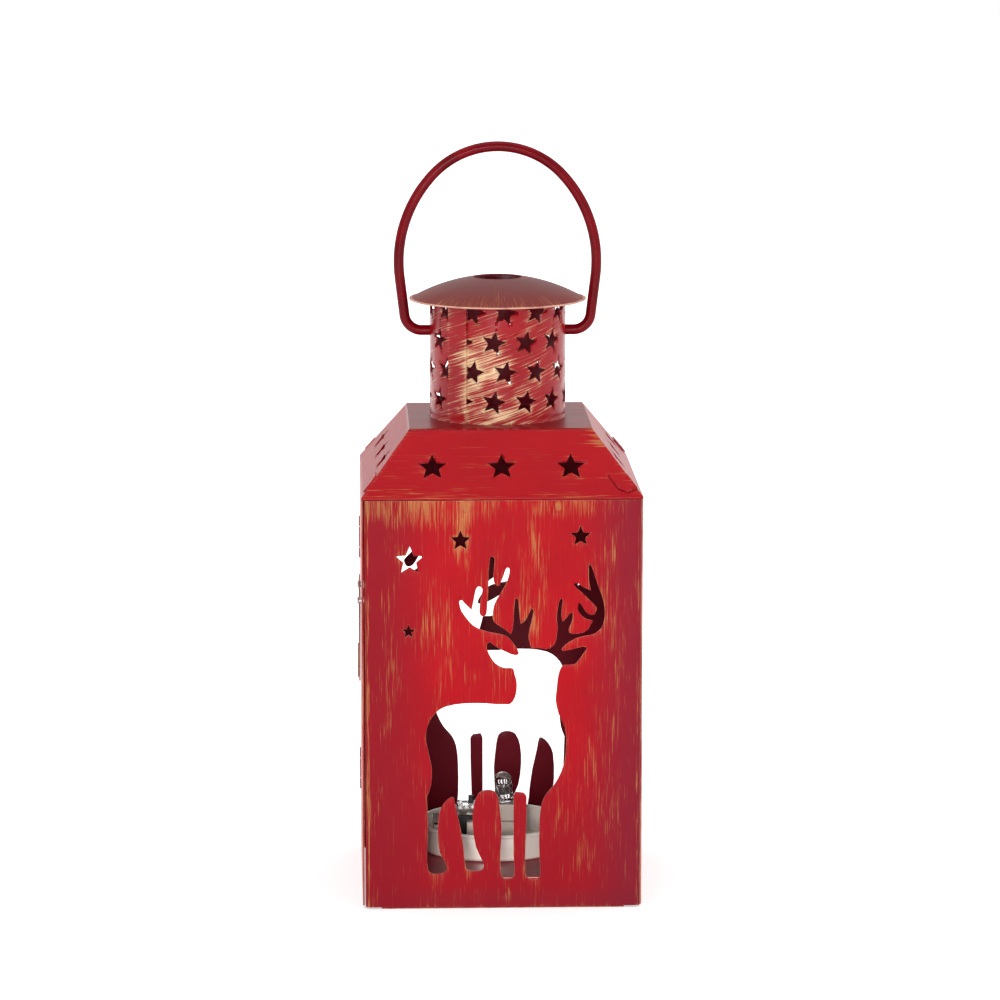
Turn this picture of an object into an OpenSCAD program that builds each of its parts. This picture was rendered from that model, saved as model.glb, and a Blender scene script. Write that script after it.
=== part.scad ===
// Square tin lantern with a stag cut-out, a star-pierced chimney, a bail handle,
// a hinged side door and a small battery light in a bright tin cup.
// Millimetres, +Z up. The origin is the middle of the footprint at table level.
// The front wall faces -Y and the door is on the -X side.

/* [Body] */
// Outside width and depth of the body
body_w = 80; // [74:1:100]
// Height of the eave above the table
eave_z = 119; // [114:1:150]
// Thickness of the painted tin sheet
sheet = 0.5; // [0.4:0.05:0.6]
// Clearance beside the moving sheet parts
gap = 0.3; // [0.2:0.05:0.4]
// Open seam between the top of the walls and the eave
eave_seam = 0.3; // [0.2:0.05:0.6]
// How far the base pan stands below the walls
foot_drop = 0.6; // [0.4:0.1:1.2]
// Outside radius of the folded wall edges
bend_r = 1.2; // [0.8:0.1:1.6]
// Depth of the flanges behind the front and back walls
flange_w = 7; // [6:0.5:10]
// Height of the floor inside the lantern
pan_h = 9; // [7:0.5:12]
// Size of the corner notches in the base pan's rim
pan_notch = 4; // [2:0.5:6]
// Radius of the ball that presses the small joining dents
dent_r = 1.5; // [1:0.1:2]
// Depth of the joining dents
dent_depth = 0.25; // [0.1:0.05:0.3]

/* [Wall pattern] */
// Width of the stag cut-out
stag_w = 51; // [44:1:54]
// Height of the stag cut-out
stag_h = 94; // [80:1:96]
// Height of the stag's hooves above the table
stag_z = 8.6; // [7:0.1:10]
// Distance of the stag's middle from the middle of the wall
stag_x = 3.6; // [0:0.1:5]
// Size of the largest wall star, from its centre to a tip
wall_star_r = 4.15; // [3:0.05:5]

/* [Roof] */
// Rise of the roof from the eave to its flat top
roof_rise = 18.3; // [14:0.1:26]
// Width of the flat top of the roof
plate_w = 52; // [48:1:60]
// Depth of the skirt that the roof sets inside the walls
skirt_h = 6; // [4:0.5:8]
// Size of the roof stars, from the centre to a tip
roof_star_r = 4.3; // [3:0.1:5]
// Distance between neighbouring roof stars
roof_star_pitch = 19.7; // [16:0.1:21]
// Width of the folded tab on each hip
hip_tab_w = 5.4; // [4:0.1:7]
// Length of the folded tab on each hip
hip_tab_l = 4.5; // [3:0.1:6]

/* [Chimney] */
// Outside diameter of the chimney tube
tube_d = 39.4; // [36:0.1:42]
// Height of the cap's rim above the flat top of the roof
rim_h = 34; // [32:0.5:40]
// Stars in one turn of the tube
stars_per_turn = 13; // [11:1:14]
// Rows of stars
star_rows = 4; // [2:1:4]
// Height of the first row above the flat top of the roof
first_row_h = 6.3; // [5:0.1:8]
// Distance from the top row to the upper edge of the tube
top_row_drop = 4.1; // [4:0.1:6]
// Size of the tube's stars, from the centre to a tip
tube_star_r = 3.6; // [2.5:0.1:3.8]
// Lean of the tube's stars, in degrees
tube_star_lean = 12; // [0:1:36]
// Place of the seam's outer edge, in degrees from the front towards +X
lap_edge_angle = -28.5; // [-32:0.5:-25]
// Width of the tube's overlapped seam
lap_w = 6.2; // [4:0.1:8]
// Width of the four tabs that hold the tube in the roof
tube_tab_w = 6; // [4:0.5:8]
// Length of those tabs under the roof
tube_tab_l = 3; // [2:0.5:4]

/* [Cap] */
// How far the cap's rim stands out past the tube
cap_overhang = 5.9; // [5:0.1:7]
// Rise of the cap's ball shape from the rim to its top
cap_rise = 7; // [5:0.1:9]
// Diameter of the smoke hole in the cap
cap_hole_d = 14; // [8:0.5:18]

/* [Bail] */
// Diameter of the bail's wire
wire_d = 3; // [2.5:0.1:3.2]
// Radial clearance of the wire in the tube's holes
wire_fit = 0.08; // [0.05:0.01:0.1]
// Height of the bail's pivot above the flat top of the roof
pivot_h = 25; // [23:0.1:26]
// Distance from the pivot to the middle of the wire at the top
bail_h = 53.2; // [50:0.2:60]
// Distance from the cap's rim to the middle of the wire where the bail is widest
bail_out = 3; // [2.8:0.1:4]
// Radius of the bail's side curves
bail_side_r = 37; // [35:0.1:40]
// Turn of the top curve on either side, in degrees
bail_top_sweep = 47; // [45:0.5:49]
// Turn of a side curve, in degrees
bail_side_sweep = 50; // [48:0.5:51]
// Radius of the bends into the tube
bail_foot_r = 5; // [4:0.1:6]
// Length of wire inside the tube
bail_in = 4.5; // [3:0.5:8]

/* [Door] */
// Diameter of the hinge pins
pin_d = 1.2; // [1:0.1:1.4]
// Radial clearance on the hinge pins
pin_fit = 0.05; // [0.03:0.01:0.1]
// Height of a hinge's middle knuckle
knuckle_h = 6; // [4:0.5:10]
// How far the hinge barrels stand out past the door
barrel_proud = 0.35; // [0.2:0.05:0.8]
// Diameter of the latch rivet
rivet_d = 1.6; // [1.2:0.1:2]
// Width of the latch
latch_w = 6; // [5:0.5:7]
// Thickness of the latch
latch_t = 0.4; // [0.3:0.05:0.5]
// Distance from the latch's rivet to its stud
latch_reach = 25.5; // [20:0.5:28]
// Distance of the stud from the front of the body
stud_inset = 4; // [3.5:0.1:4.5]
// Height of the latch's rivet and stud above the table
latch_z = 89.5; // [60:0.5:95]
// Diameter of the stud
stud_d = 1.8; // [1.4:0.1:2]
// Thickness of rivet and stud heads
head_t = 0.4; // [0.3:0.05:0.5]

/* [Light cup] */
// Outside diameter of the cup's wall
cup_d = 43; // [42:0.5:50]
// Height of the cup
cup_h = 8; // [6:0.5:10]
// Thickness of the cup's bright tin
cup_sheet = 0.4; // [0.3:0.05:0.5]
// Radius of the cup's rolled rim
cup_bead_r = 0.6; // [0.5:0.05:0.8]
// Distance of the cup's middle from the middle of the floor
cup_x = -1.5; // [-3:0.1:3]
// Distance of the cup's two rivets from its middle
cup_rivet_y = 12.5; // [11:0.5:14]
// Radius of the cup's rivets
cup_rivet_r = 1.5; // [1:0.1:1.8]
// Radius of the heads of the cup's rivets
cup_rivet_head_r = 2.6; // [2:0.1:3]

/* [Battery light] */
// Distance of the circuit board's right end from the middle of the cup
board_end = 8.8; // [8:0.1:9.5]
// Length of the circuit board
board_l = 26.6; // [26:0.1:28]
// Width of the circuit board
board_w = 15; // [14:0.5:16]
// Thickness of the circuit board
board_t = 1; // [0.8:0.1:1.6]
// Distance of the holder and the battery box from the ends of the board
board_margin = 0.3; // [0.1:0.1:0.5]
// Diameter of a button cell
cell_d = 5.8; // [5:0.1:6.2]
// Thickness of a button cell
cell_t = 2.1; // [1.6:0.1:2.2]
// Width of the step round a cell's raised end
cell_rim_w = 0.4; // [0.2:0.1:0.8]
// Number of button cells
cells = 4; // [3:1:4]
// Length of the battery box
box_l = 12; // [11.5:0.1:13]
// Wall of the battery box
box_wall = 0.45; // [0.4:0.05:0.6]
// Thickness of the battery box's lid
lid_t = 0.7; // [0.6:0.05:1]
// Width of the lid's two runners
lid_lip = 0.25; // [0.2:0.05:0.3]
// Play of the lid and of the switch's slider
slide_fit = 0.1; // [0.05:0.01:0.12]
// Thickness of the battery contacts
contact_t = 0.25; // [0.2:0.05:0.3]
// Width of the battery contacts
contact_w = 4.4; // [3:0.1:5]
// Length of the light's holder
holder_l = 16.2; // [14:0.1:17]
// Width of the light's holder
holder_w = 12; // [10:0.5:13]
// Height of the holder's low part
holder_h = 6.9; // [5:0.1:8]
// Length of the tower that carries the light
tower_l = 10; // [8:0.1:11]
// Width of the tower that carries the light
tower_w = 8; // [7:0.1:9]
// Height of the tower above the board
tower_h = 11.7; // [10:0.1:14]
// Distance of the light from the left side of the tower
led_inset = 5.4; // [5:0.1:5.6]
// Diameter of the clear light capsule
led_d = 5; // [4:0.1:5.5]
// Length of the clear light capsule
led_l = 8.6; // [7:0.1:10]
// Width of the collar at the foot of the capsule
led_collar_w = 0.4; // [0.2:0.1:0.5]
// Height of that collar
led_collar_h = 1; // [0.6:0.1:1.4]
// Radius of the light's two posts
lead_r = 0.25; // [0.2:0.05:0.3]
// Distance between the posts
lead_pitch = 2.54; // [2:0.01:2.8]
// Radial clearance of the posts in the board and the tower
lead_fit = 0.1; // [0.05:0.01:0.15]
// Radius of the small bowl on the right post
bowl_r = 0.9; // [0.6:0.1:1]
// Height of that bowl
bowl_h = 1; // [0.6:0.1:1.4]
// Lean of the capsule to the left, in degrees
led_lean = 8.5; // [0:0.5:12]
// Length of the switch
switch_l = 6.1; // [5.6:0.1:6.4]
// Width of the switch
switch_w = 4.4; // [4:0.1:4.8]
// Height of the switch's black base above the board
switch_base_h = 8.2; // [7:0.1:9]
// Height of the switch's metal frame
frame_h = 3.6; // [3.2:0.1:4]
// Thickness of the switch's metal frame
frame_t = 0.3; // [0.2:0.05:0.4]
// Travel of the switch
switch_travel = 1.8; // [1.2:0.1:2]
// Length of the switch's slider inside the frame
slider_l = 2.9; // [2.8:0.1:3.2]
// Height of that slider
slider_h = 1.9; // [1.4:0.1:2.6]
// Distance of the knob from the right end of the switch
knob_inset = 1.1; // [1:0.1:1.3]
// Width of the switch's knob
knob_w = 1.5; // [1.2:0.1:1.6]
// Height of the knob above the frame
knob_h = 1.9; // [1:0.1:3]

/* [Hidden] */
$fn = 72;

paint = "#b3242f";
bright_tin = "#d8d6d2";
plastic = "#8b7370";

// Overrun of every cut, and the play left between pieces that are pressed together
over = 1;
seat = 0.05;

half_w = body_w / 2;
wall_left = -(half_w - sheet - gap);
wall_right = half_w - sheet;
wall_z = foot_drop;
wall_top = eave_z - eave_seam;
wall_h = wall_top - wall_z;
inner_left = wall_left + sheet;
inner_right = wall_right - sheet;
inner_y = half_w - sheet;

// Roof
plate_half = plate_w / 2;
plate_z = eave_z + roof_rise;
slope_foot_z = eave_z + sheet;
slope_run = half_w - plate_half;
slope_rise = roof_rise - sheet;
slope_len = norm([slope_run, slope_rise]);
slope_angle = atan2(slope_rise, slope_run);
roof_star_share = 0.44;
hip_tab_share = 0.12;
hip_point_share = 0.3;

// Stars
star_tips = 5;
star_waist_share = 0.45;
wall_star_shares = [[-0.329, 0.853, 1], [-0.149, 0.901, 0.74], [0.277, 0.91, 0.74], [-0.334, 0.681, 0.49]];

// Joining dents: shares of the body's width along the wall
top_dent_shares = [-0.13, 0.19];
foot_dent_shares = [0.01];
side_dent_shares = [-0.3, 0.3];

// Chimney and cap
tube_r = tube_d / 2;
rim_z = plate_z + rim_h;
cap_r = tube_r + cap_overhang;
cap_ball_r = (cap_r * cap_r + cap_rise * cap_rise) / (2 * cap_rise);
cap_ball_z = rim_z + cap_rise - cap_ball_r;
tube_top_z = cap_ball_z + sqrt(pow(cap_ball_r - sheet - seat, 2) - pow(tube_r + sheet, 2));
tube_h = tube_top_z - plate_z;
row_pitch = (tube_h - first_row_h - top_row_drop) / (star_rows - 1);
tube_tabs = 4;
star_pitch_angle = 360 / stars_per_turn;
// Angles are counted from the front towards +X
odd_row_share = 0.165;
even_row_share = -0.19;
lap_angle = lap_w / tube_r * 180 / PI;

// Bail: the centre line is built from the top down, in the plane of the two pivots
wire_r = wire_d / 2;
bail_skin = 0.02;
bail_sides = 16;
bail_foot_steps = 6;
bail_side_steps = 9;
bail_top_steps = 7;
wire_hole_r = wire_r + wire_fit;
pivot_z = plate_z + pivot_h;
bail_top_r = (cap_r + bail_out - bail_side_r * (1 - sin(bail_top_sweep))) / sin(bail_top_sweep);
bail_lean = bail_top_sweep + bail_side_sweep - 90;
bail_top_c = [0, pivot_z + bail_h - bail_top_r];
bail_join = bail_top_c + bail_top_r * [sin(bail_top_sweep), cos(bail_top_sweep)];
bail_side_c = bail_join - bail_side_r * [sin(bail_top_sweep), cos(bail_top_sweep)];
bail_leg_top = bail_side_c + bail_side_r * [cos(bail_lean), -sin(bail_lean)];
bail_foot_z = pivot_z + bail_foot_r;
bail_leg_foot_z = bail_foot_z - bail_foot_r * sin(bail_lean);
bail_leg_l = (bail_leg_top[1] - bail_leg_foot_z) / cos(bail_lean);
bail_foot_x = bail_leg_top[0] - bail_leg_l * sin(bail_lean) - bail_foot_r * cos(bail_lean);

// Door and hinge
barrel_r = pin_d / 2 + pin_fit + sheet;
hinge_x = -half_w - barrel_proud + barrel_r;
hinge_y = inner_y - gap - barrel_r;
hinge_shares = [0.2, 0.8];
side_knuckle_h = knuckle_h / 2;
hinge_h = knuckle_h + 2 * gap + 2 * side_knuckle_h;
door_z = wall_z + gap;
door_h = wall_h - 2 * gap;
door_front = -half_w + bend_r;
door_back = hinge_y - barrel_r - gap;
stud_y = -half_w + stud_inset;
rivet_y = stud_y + latch_reach;
latch_x = -half_w - gap;
latch_out = latch_x - latch_t;
head_share = 0.75;
stud_head_r = head_share * stud_d;
stud_hole_r = stud_head_r + 2 * gap;
rivet_head_r = rivet_d;
latch_slot_r = stud_d / 2 + gap;
latch_tip_share = 0.42;
latch_lip_share = 1.7;
latch_tip_l = latch_reach + latch_tip_share * latch_w;

// Light cup and battery light
cup_r = cup_d / 2;
cup_floor_z = pan_h + cup_sheet;
board_z = cup_floor_z + seat;
board_top = board_z + board_t;
board_right = cup_x + board_end;
board_left = board_right - board_l;
box_left = board_left + board_margin;
box_in_w = cell_d + 2 * seat;
box_w = box_in_w + 2 * box_wall;
box_h = cell_d + 2 * seat + box_wall;
box_right = box_left + box_w;
cell_z = board_top + box_wall + seat + cell_d / 2;
lid_z = board_top + box_h;
stack_l = cells * cell_t;
box_in_l = box_l - 2 * box_wall;
stack_y = -box_in_l / 2 + contact_t + seat;
holder_right = board_right - board_margin;
holder_left = holder_right - holder_l;
tower_left = holder_right - tower_l;
switch_left = box_right + 2 * seat;
switch_right = switch_left + switch_l;
switch_top = board_top + switch_base_h;
frame_top = switch_top + frame_h;
knob_right = switch_right - knob_inset;
led_x = tower_left + led_inset;
led_collar_r = led_d / 2 + led_collar_w;
led_base_z = board_top + tower_h + led_collar_r * sin(led_lean) + seat;
post_h = led_l / 2;
cell_can_share = 0.8;

// Stag outline on a drawing grid of 179 cells across and 323 cells up from the hooves.
// Each point is [across, up], and a third value of 1 makes it a sharp corner.
// The list runs clockwise, seen from the front.
stag_grid = [179, 323];
left_antler_shares = [[83, 242], [78, 245], [69, 247], [60, 249], [52, 252], [46, 256], [41, 262], [36, 269],
    [34, 276], [34, 279], [36, 280], [38, 278], [46, 270, 1], [48, 279], [50, 289], [52, 293],
    [55, 293], [57, 290], [55, 281], [54, 272], [54, 267], [56, 264], [59, 264], [61, 267],
    [62, 280], [63, 296], [63, 307], [64, 318], [65, 323], [67, 323], [69, 321], [68, 307],
    [68, 299], [70, 295], [73, 294], [75, 297], [78, 304], [80, 310], [82, 312], [84, 310],
    [83, 303], [80, 295], [74, 285], [69, 276], [67, 266], [68, 259], [71, 256], [79, 251],
    [85, 246, 1], [87, 251], [88, 264], [89, 276], [90, 281], [92, 281], [93, 276], [94, 264],
    [95, 256, 1], [100, 260], [106, 272, 1], [108, 268], [104, 251], [103, 243], [104, 237]];
right_antler_shares = [[106, 231, 1], [113, 232], [118, 231], [122, 231], [126, 233], [130, 238], [131, 244],
    [132, 252], [131, 261], [133, 276], [135, 281], [137, 280], [136, 270], [136, 261],
    [137, 258, 1], [141, 262], [144, 266], [146, 267], [147, 265], [147, 261], [145, 255],
    [143, 250], [144, 247], [147, 246], [152, 246], [157, 247], [161, 249], [164, 253],
    [167, 259, 1], [162, 260], [158, 262], [154, 266], [152, 270], [152, 274], [153, 276],
    [155, 276], [158, 271], [161, 267], [164, 265], [168, 265], [170, 268], [171, 271],
    [169, 274], [164, 279], [157, 286], [151, 291], [148, 295], [149, 296], [152, 296],
    [158, 292], [165, 289, 1], [163, 300], [163, 310], [163, 314], [165, 314], [168, 306],
    [171, 297], [175, 287], [178, 277], [179, 270], [179, 263], [178, 257], [176, 252],
    [172, 248], [167, 245], [161, 244], [152, 242], [146, 239], [141, 236], [137, 232],
    [136, 230]];
neck_shares = [[138, 229], [144, 230], [153, 232], [158, 233], [161, 231], [159, 228], [155, 222],
    [150, 216], [147, 215], [141, 215], [137, 214], [134, 209], [132, 200], [131, 190],
    [130, 180], [133, 166], [139, 154], [141, 140], [140, 123], [136, 108],
    [129, 95], [121, 86], [116, 75], [114, 55]];
foreleg_shares = [[114, 25], [115, 5], [112, 0], [104, 0], [100, 5], [100, 35], [101, 83], [98, 87, 1],
    [90, 88, 1], [88, 83], [88, 45], [88, 23], [89, 5], [86, 1], [78, 1], [75, 7], [75, 30],
    [76, 51], [74, 72], [72, 84], [68, 89], [60, 90], [53, 87], [48, 75], [47, 55]];
hind_leg_shares = [[50, 33], [57, 18], [58, 12], [54, 9], [44, 9], [40, 12], [38, 29], [35, 50],
    [30, 72], [28, 82], [25, 83], [18, 77], [13, 66], [12, 40], [14, 27], [18, 20], [21, 10],
    [17, 7], [7, 6], [2, 10], [1, 28], [2, 55], [1, 84, 1], [5, 95], [6, 112], [2, 131],
    [0, 145], [3, 158]];
back_shares = [[10, 168], [20, 174], [38, 177], [60, 177], [84, 176], [89, 182], [91, 190], [91, 199],
    [89, 206], [88, 211, 1], [85, 212], [79, 212], [72, 215], [67, 220], [63, 227], [61, 234],
    [62, 237], [64, 238], [67, 236], [75, 231], [83, 227], [89, 225], [93, 226], [92, 230],
    [89, 235], [85, 240]];
stag_shares = concat(left_antler_shares, right_antler_shares, neck_shares, foreleg_shares,
    hind_leg_shares, back_shares);
stag_steps = 2;

function flat(p) = [p[0], p[1]];
function unit(v) = v / norm(v);
function at(p, i) = flat(p[(i + len(p)) % len(p)]);
function is_corner(p, i) = len(p[(i + len(p)) % len(p)]) > 2;
// Direction of the outline at the start and at the end of the stretch from point i to i + 1
function start_way(p, i) = unit(at(p, i + 1) - (is_corner(p, i) ? at(p, i) : at(p, i - 1)));
function end_way(p, i) = unit((is_corner(p, i + 1) ? at(p, i + 1) : at(p, i + 2)) - at(p, i));
// Smooth closed curve through the points, with corners where they ask for one
function curve_through(p, steps) = [
    for (i = [0 : len(p) - 1], k = [0 : steps - 1])
        let (t = k / steps, a = at(p, i), b = at(p, i + 1), run = norm(b - a))
            (2 * t * t * t - 3 * t * t + 1) * a + (t * t * t - 2 * t * t + t) * run * start_way(p, i)
            + (3 * t * t - 2 * t * t * t) * b + (t * t * t - t * t) * run * end_way(p, i)
];
function stag_points() = curve_through(
    [for (q = stag_shares) concat([(q[0] / stag_grid[0] - 1 / 2) * stag_w, q[1] / stag_grid[1] * stag_h],
        len(q) > 2 ? [1] : [])], stag_steps);
function star_points(r) = [
    for (i = [0 : 2 * star_tips - 1])
        let (a = 90 + i * 180 / star_tips, q = i % 2 == 0 ? r : r * star_waist_share)
            q * [cos(a), sin(a)]
];

// Quarter ring of folded sheet whose corner points to -X -Y
module bend_2d(r) {
    intersection() {
        difference() {
            circle(r);
            circle(r - sheet);
        }
        translate([-r, -r]) square(r);
    }
}

// Rectangle between two corners with round corners
module round_rect(a, b, r) {
    translate([a[0] + r, a[1]]) square([b[0] - a[0] - 2 * r, b[1] - a[1]]);
    translate([a[0], a[1] + r]) square([b[0] - a[0], b[1] - a[1] - 2 * r]);
    for (x = [a[0] + r, b[0] - r], y = [a[1] + r, b[1] - r]) translate([x, y]) circle(r);
}

// Plan of the box that the walls enclose, drawn in by a distance
module inside_plan(inset) {
    round_rect([inner_left + inset, -inner_y + inset], [inner_right - inset, inner_y - inset], bend_r);
}

// Domed head of a pin or rivet, standing on its flat side
module head(r) {
    ball_r = (r * r + head_t * head_t) / (2 * head_t);
    intersection() {
        translate([0, 0, head_t - ball_r]) sphere(ball_r);
        cylinder(r = r + over, h = head_t);
    }
}

// Block between two corners
module block(a, b) {
    translate(a) cube(b - a);
}

// Plan of the front wall: a plate with a flange folded back at each side
module wall_plan() {
    translate([wall_left + bend_r, -half_w]) square([wall_right - wall_left - 2 * bend_r, sheet]);
    for (x = [wall_left, wall_right - sheet])
        translate([x, -half_w + bend_r]) square([sheet, flange_w - bend_r]);
    translate([wall_left + bend_r, -half_w + bend_r]) bend_2d(bend_r);
    translate([wall_right - bend_r, -half_w + bend_r]) mirror([1, 0]) bend_2d(bend_r);
}

// Stag and stars of a wall, drawn on the front wall's plane
module wall_pattern() {
    translate([0, -half_w + sheet + over, 0]) rotate([90, 0, 0]) linear_extrude(sheet + 2 * over) {
        translate([stag_x, stag_z]) polygon(stag_points());
        for (s = wall_star_shares)
            translate([s[0] * body_w, s[1] * eave_z]) polygon(star_points(s[2] * wall_star_r));
    }
}

// Small dents that join the front wall to the roof's skirt and the base pan
module dents(top_shares, foot_shares) {
    for (s = top_shares)
        translate([s * body_w, -half_w - dent_r + dent_depth, eave_z - skirt_h / 2]) sphere(dent_r);
    for (s = foot_shares)
        translate([s * body_w, -half_w - dent_r + dent_depth, pan_h / 2]) sphere(dent_r);
}

module front_wall() {
    color(paint) difference() {
        translate([0, 0, wall_z]) linear_extrude(wall_h) wall_plan();
        wall_pattern();
        dents(top_dent_shares, foot_dent_shares);
        // Hole for the latch stud in the left flange
        translate([wall_left - over, stud_y, latch_z]) rotate([0, 90, 0])
            cylinder(r = stud_d / 2, h = sheet + 2 * over);
    }
}

// Height of the middle of each hinge
function hinge_zs() = [for (s = hinge_shares) wall_z + s * wall_h];

// Barrel of one knuckle round the hinge axis
module barrel(z, h) {
    translate([hinge_x, hinge_y, z]) cylinder(r = barrel_r, h = h);
}

// Clearance cut round the hinge axis
module barrel_room(z, h) {
    translate([hinge_x, hinge_y, z - gap]) cylinder(r = barrel_r + gap, h = h + 2 * gap);
}

module pin_bore() {
    for (z = hinge_zs())
        translate([hinge_x, hinge_y, z - hinge_h / 2 - over])
            cylinder(r = pin_d / 2 + pin_fit, h = hinge_h + 2 * over);
}

module back_wall() {
    color(paint) difference() {
        union() {
            translate([0, 0, wall_z]) linear_extrude(wall_h) mirror([0, 1]) wall_plan();
            for (z = hinge_zs()) {
                barrel(z - hinge_h / 2, side_knuckle_h);
                barrel(z + hinge_h / 2 - side_knuckle_h, side_knuckle_h);
            }
        }
        rotate([0, 0, 180]) wall_pattern();
        rotate([0, 0, 180]) dents(top_dent_shares, foot_dent_shares);
        for (z = hinge_zs()) {
            barrel_room(z - knuckle_h / 2, knuckle_h);
            // Notch in the flange for the pin's head
            translate([hinge_x, hinge_y, z + hinge_h / 2]) cylinder(r = barrel_r + seat, h = head_t + seat);
        }
        pin_bore();
    }
}

module right_wall() {
    color(paint) difference() {
        block([wall_right, -half_w + bend_r, wall_z], [half_w, half_w - bend_r, wall_top]);
        rotate([0, 0, 90]) dents(side_dent_shares, side_dent_shares);
    }
}

module base_pan() {
    color(paint) {
        translate([0, 0, pan_h - sheet]) linear_extrude(sheet) inside_plan(0);
        linear_extrude(pan_h - sheet) difference() {
            inside_plan(0);
            inside_plan(sheet);
            for (x = [inner_left, inner_right - pan_notch], y = [-inner_y, inner_y - pan_notch])
                translate([x, y]) square(pan_notch);
        }
    }
}

// Solid roof shape between two heights, as two crossed ridges of the same profile
module crossed(profile, w) {
    intersection() {
        translate([0, w / 2, 0]) rotate([90, 0, 0]) linear_extrude(w) polygon(profile);
        translate([-w / 2, 0, 0]) rotate([90, 0, 90]) linear_extrude(w) polygon(profile);
    }
}

// Puts its children on the front slope, a share of the way up, with Y up the slope
module on_slope(share) {
    translate([0, -half_w + share * slope_run, slope_foot_z + share * slope_rise])
        rotate([slope_angle, 0, 0]) children();
}

// Tab of the neighbouring slope, folded over the hip and lying on the front slope
module hip_tab() {
    low = hip_tab_share * slope_len;
    high = low + hip_tab_l;
    hip_low = half_w - low * cos(slope_angle);
    hip_high = half_w - high * cos(slope_angle);
    point = low - hip_point_share * hip_tab_l;
    on_slope(0) linear_extrude(sheet)
        polygon([[hip_low, low], [hip_high, high], [hip_high - hip_tab_w, high],
            [hip_low - hip_tab_w, low], [hip_low - hip_tab_w / 2, point]]);
}

module roof() {
    inset = sheet / sin(slope_angle);
    shell = [[-half_w, eave_z], [half_w, eave_z], [half_w, slope_foot_z], [plate_half, plate_z],
        [-plate_half, plate_z], [-half_w, slope_foot_z]];
    top_half = plate_half - inset + sheet / tan(slope_angle);
    hollow = [[-half_w + inset, slope_foot_z], [half_w - inset, slope_foot_z], [top_half, plate_z - sheet],
        [-top_half, plate_z - sheet]];
    color(paint) difference() {
        union() {
            crossed(shell, body_w);
            translate([0, 0, eave_z - skirt_h]) linear_extrude(skirt_h + sheet) inside_plan(0);
            for (k = [0 : 3]) rotate([0, 0, 90 * k]) hip_tab();
        }
        crossed(hollow, body_w - 2 * inset);
        translate([0, 0, eave_z - skirt_h - over]) linear_extrude(skirt_h + over + 2 * sheet)
            inside_plan(sheet);
        for (k = [0 : 3], x = [-1, 0, 1]) rotate([0, 0, 90 * k]) on_slope(roof_star_share)
            translate([x * roof_star_pitch, 0, -sheet - over]) linear_extrude(sheet + 2 * over)
                polygon(star_points(roof_star_r));
        translate([0, 0, plate_z - sheet - over])
            cylinder(r = tube_r - sheet - tube_tab_l, h = sheet + 2 * over);
        tube_tab_slots();
    }
}

// The four bands of the tube that its tabs are cut from
module tab_band(w, z, h, play) {
    for (k = [0 : tube_tabs - 1]) rotate([0, 0, k * 360 / tube_tabs]) intersection() {
        translate([0, 0, z]) difference() {
            cylinder(r = tube_r + play, h = h);
            translate([0, 0, -over]) cylinder(r = tube_r - sheet - play, h = h + 2 * over);
        }
        block([-w / 2, -tube_r - over, z], [w / 2, 0, z + h]);
    }
}

module tube_tab_slots() {
    tab_band(tube_tab_w + 2 * seat, plate_z - sheet - over, sheet + 2 * over, seat);
}

// True where a star would run into one of the bail's two holes
function hits_pivot(angle, z) = norm([tube_r * cos(angle), z - pivot_z]) < tube_star_r + wire_d;

module tube_stars() {
    for (row = [0 : star_rows - 1], k = [0 : stars_per_turn - 1]) {
        angle = star_pitch_angle * (k + (row % 2 == 0 ? even_row_share : odd_row_share));
        z = plate_z + first_row_h + row * row_pitch;
        if (!hits_pivot(angle, z))
            rotate([0, 0, angle]) translate([0, -tube_r / 2, z]) rotate([90, tube_star_lean, 0])
                linear_extrude(tube_r) polygon(star_points(tube_star_r));
    }
}

// Piece of ring sheet between two radii, from the roof to just under the cap
module tube_wall(inner, outer) {
    translate([0, 0, plate_z]) difference() {
        cylinder(r = outer, h = tube_h);
        translate([0, 0, -over]) cylinder(r = inner, h = tube_h + 2 * over);
    }
}

// Outer layer of the tube's overlapped seam
module lap_band() {
    rotate([0, 0, lap_edge_angle - lap_angle - 90]) translate([0, 0, plate_z])
        rotate_extrude(angle = lap_angle)
            translate([tube_r - sheet / 2, 0]) square([3 * sheet / 2, tube_h]);
}

module chimney_tube() {
    color(paint) {
        difference() {
            union() {
                difference() {
                    tube_wall(tube_r - sheet, tube_r);
                    tube_stars();
                }
                lap_band();
            }
            translate([-tube_r - over, 0, pivot_z]) rotate([0, 90, 0])
                cylinder(r = wire_hole_r, h = tube_d + 2 * over);
        }
        tab_band(tube_tab_w, plate_z - 2 * sheet - seat, 2 * sheet + seat, 0);
        for (k = [0 : tube_tabs - 1]) rotate([0, 0, k * 360 / tube_tabs])
            block([-tube_tab_w / 2, -tube_r + sheet, plate_z - 2 * sheet - seat],
                [tube_tab_w / 2, -tube_r + 2 * sheet + tube_tab_l, plate_z - sheet - seat]);
    }
}

module cap() {
    color(paint) difference() {
        intersection() {
            translate([0, 0, cap_ball_z]) sphere(cap_ball_r);
            translate([0, 0, rim_z]) cylinder(r = cap_r + over, h = cap_rise + over);
        }
        translate([0, 0, cap_ball_z]) sphere(cap_ball_r - sheet);
        translate([0, 0, rim_z]) cylinder(d = cap_hole_d, h = cap_rise + over);
    }
}

// Points along an arc in the XZ plane, without the first one
function arc_points(c, r, from, to, steps) = [
    for (i = [1 : steps]) let (a = from + (to - from) * i / steps) c + r * [cos(a), sin(a)]
];
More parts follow.
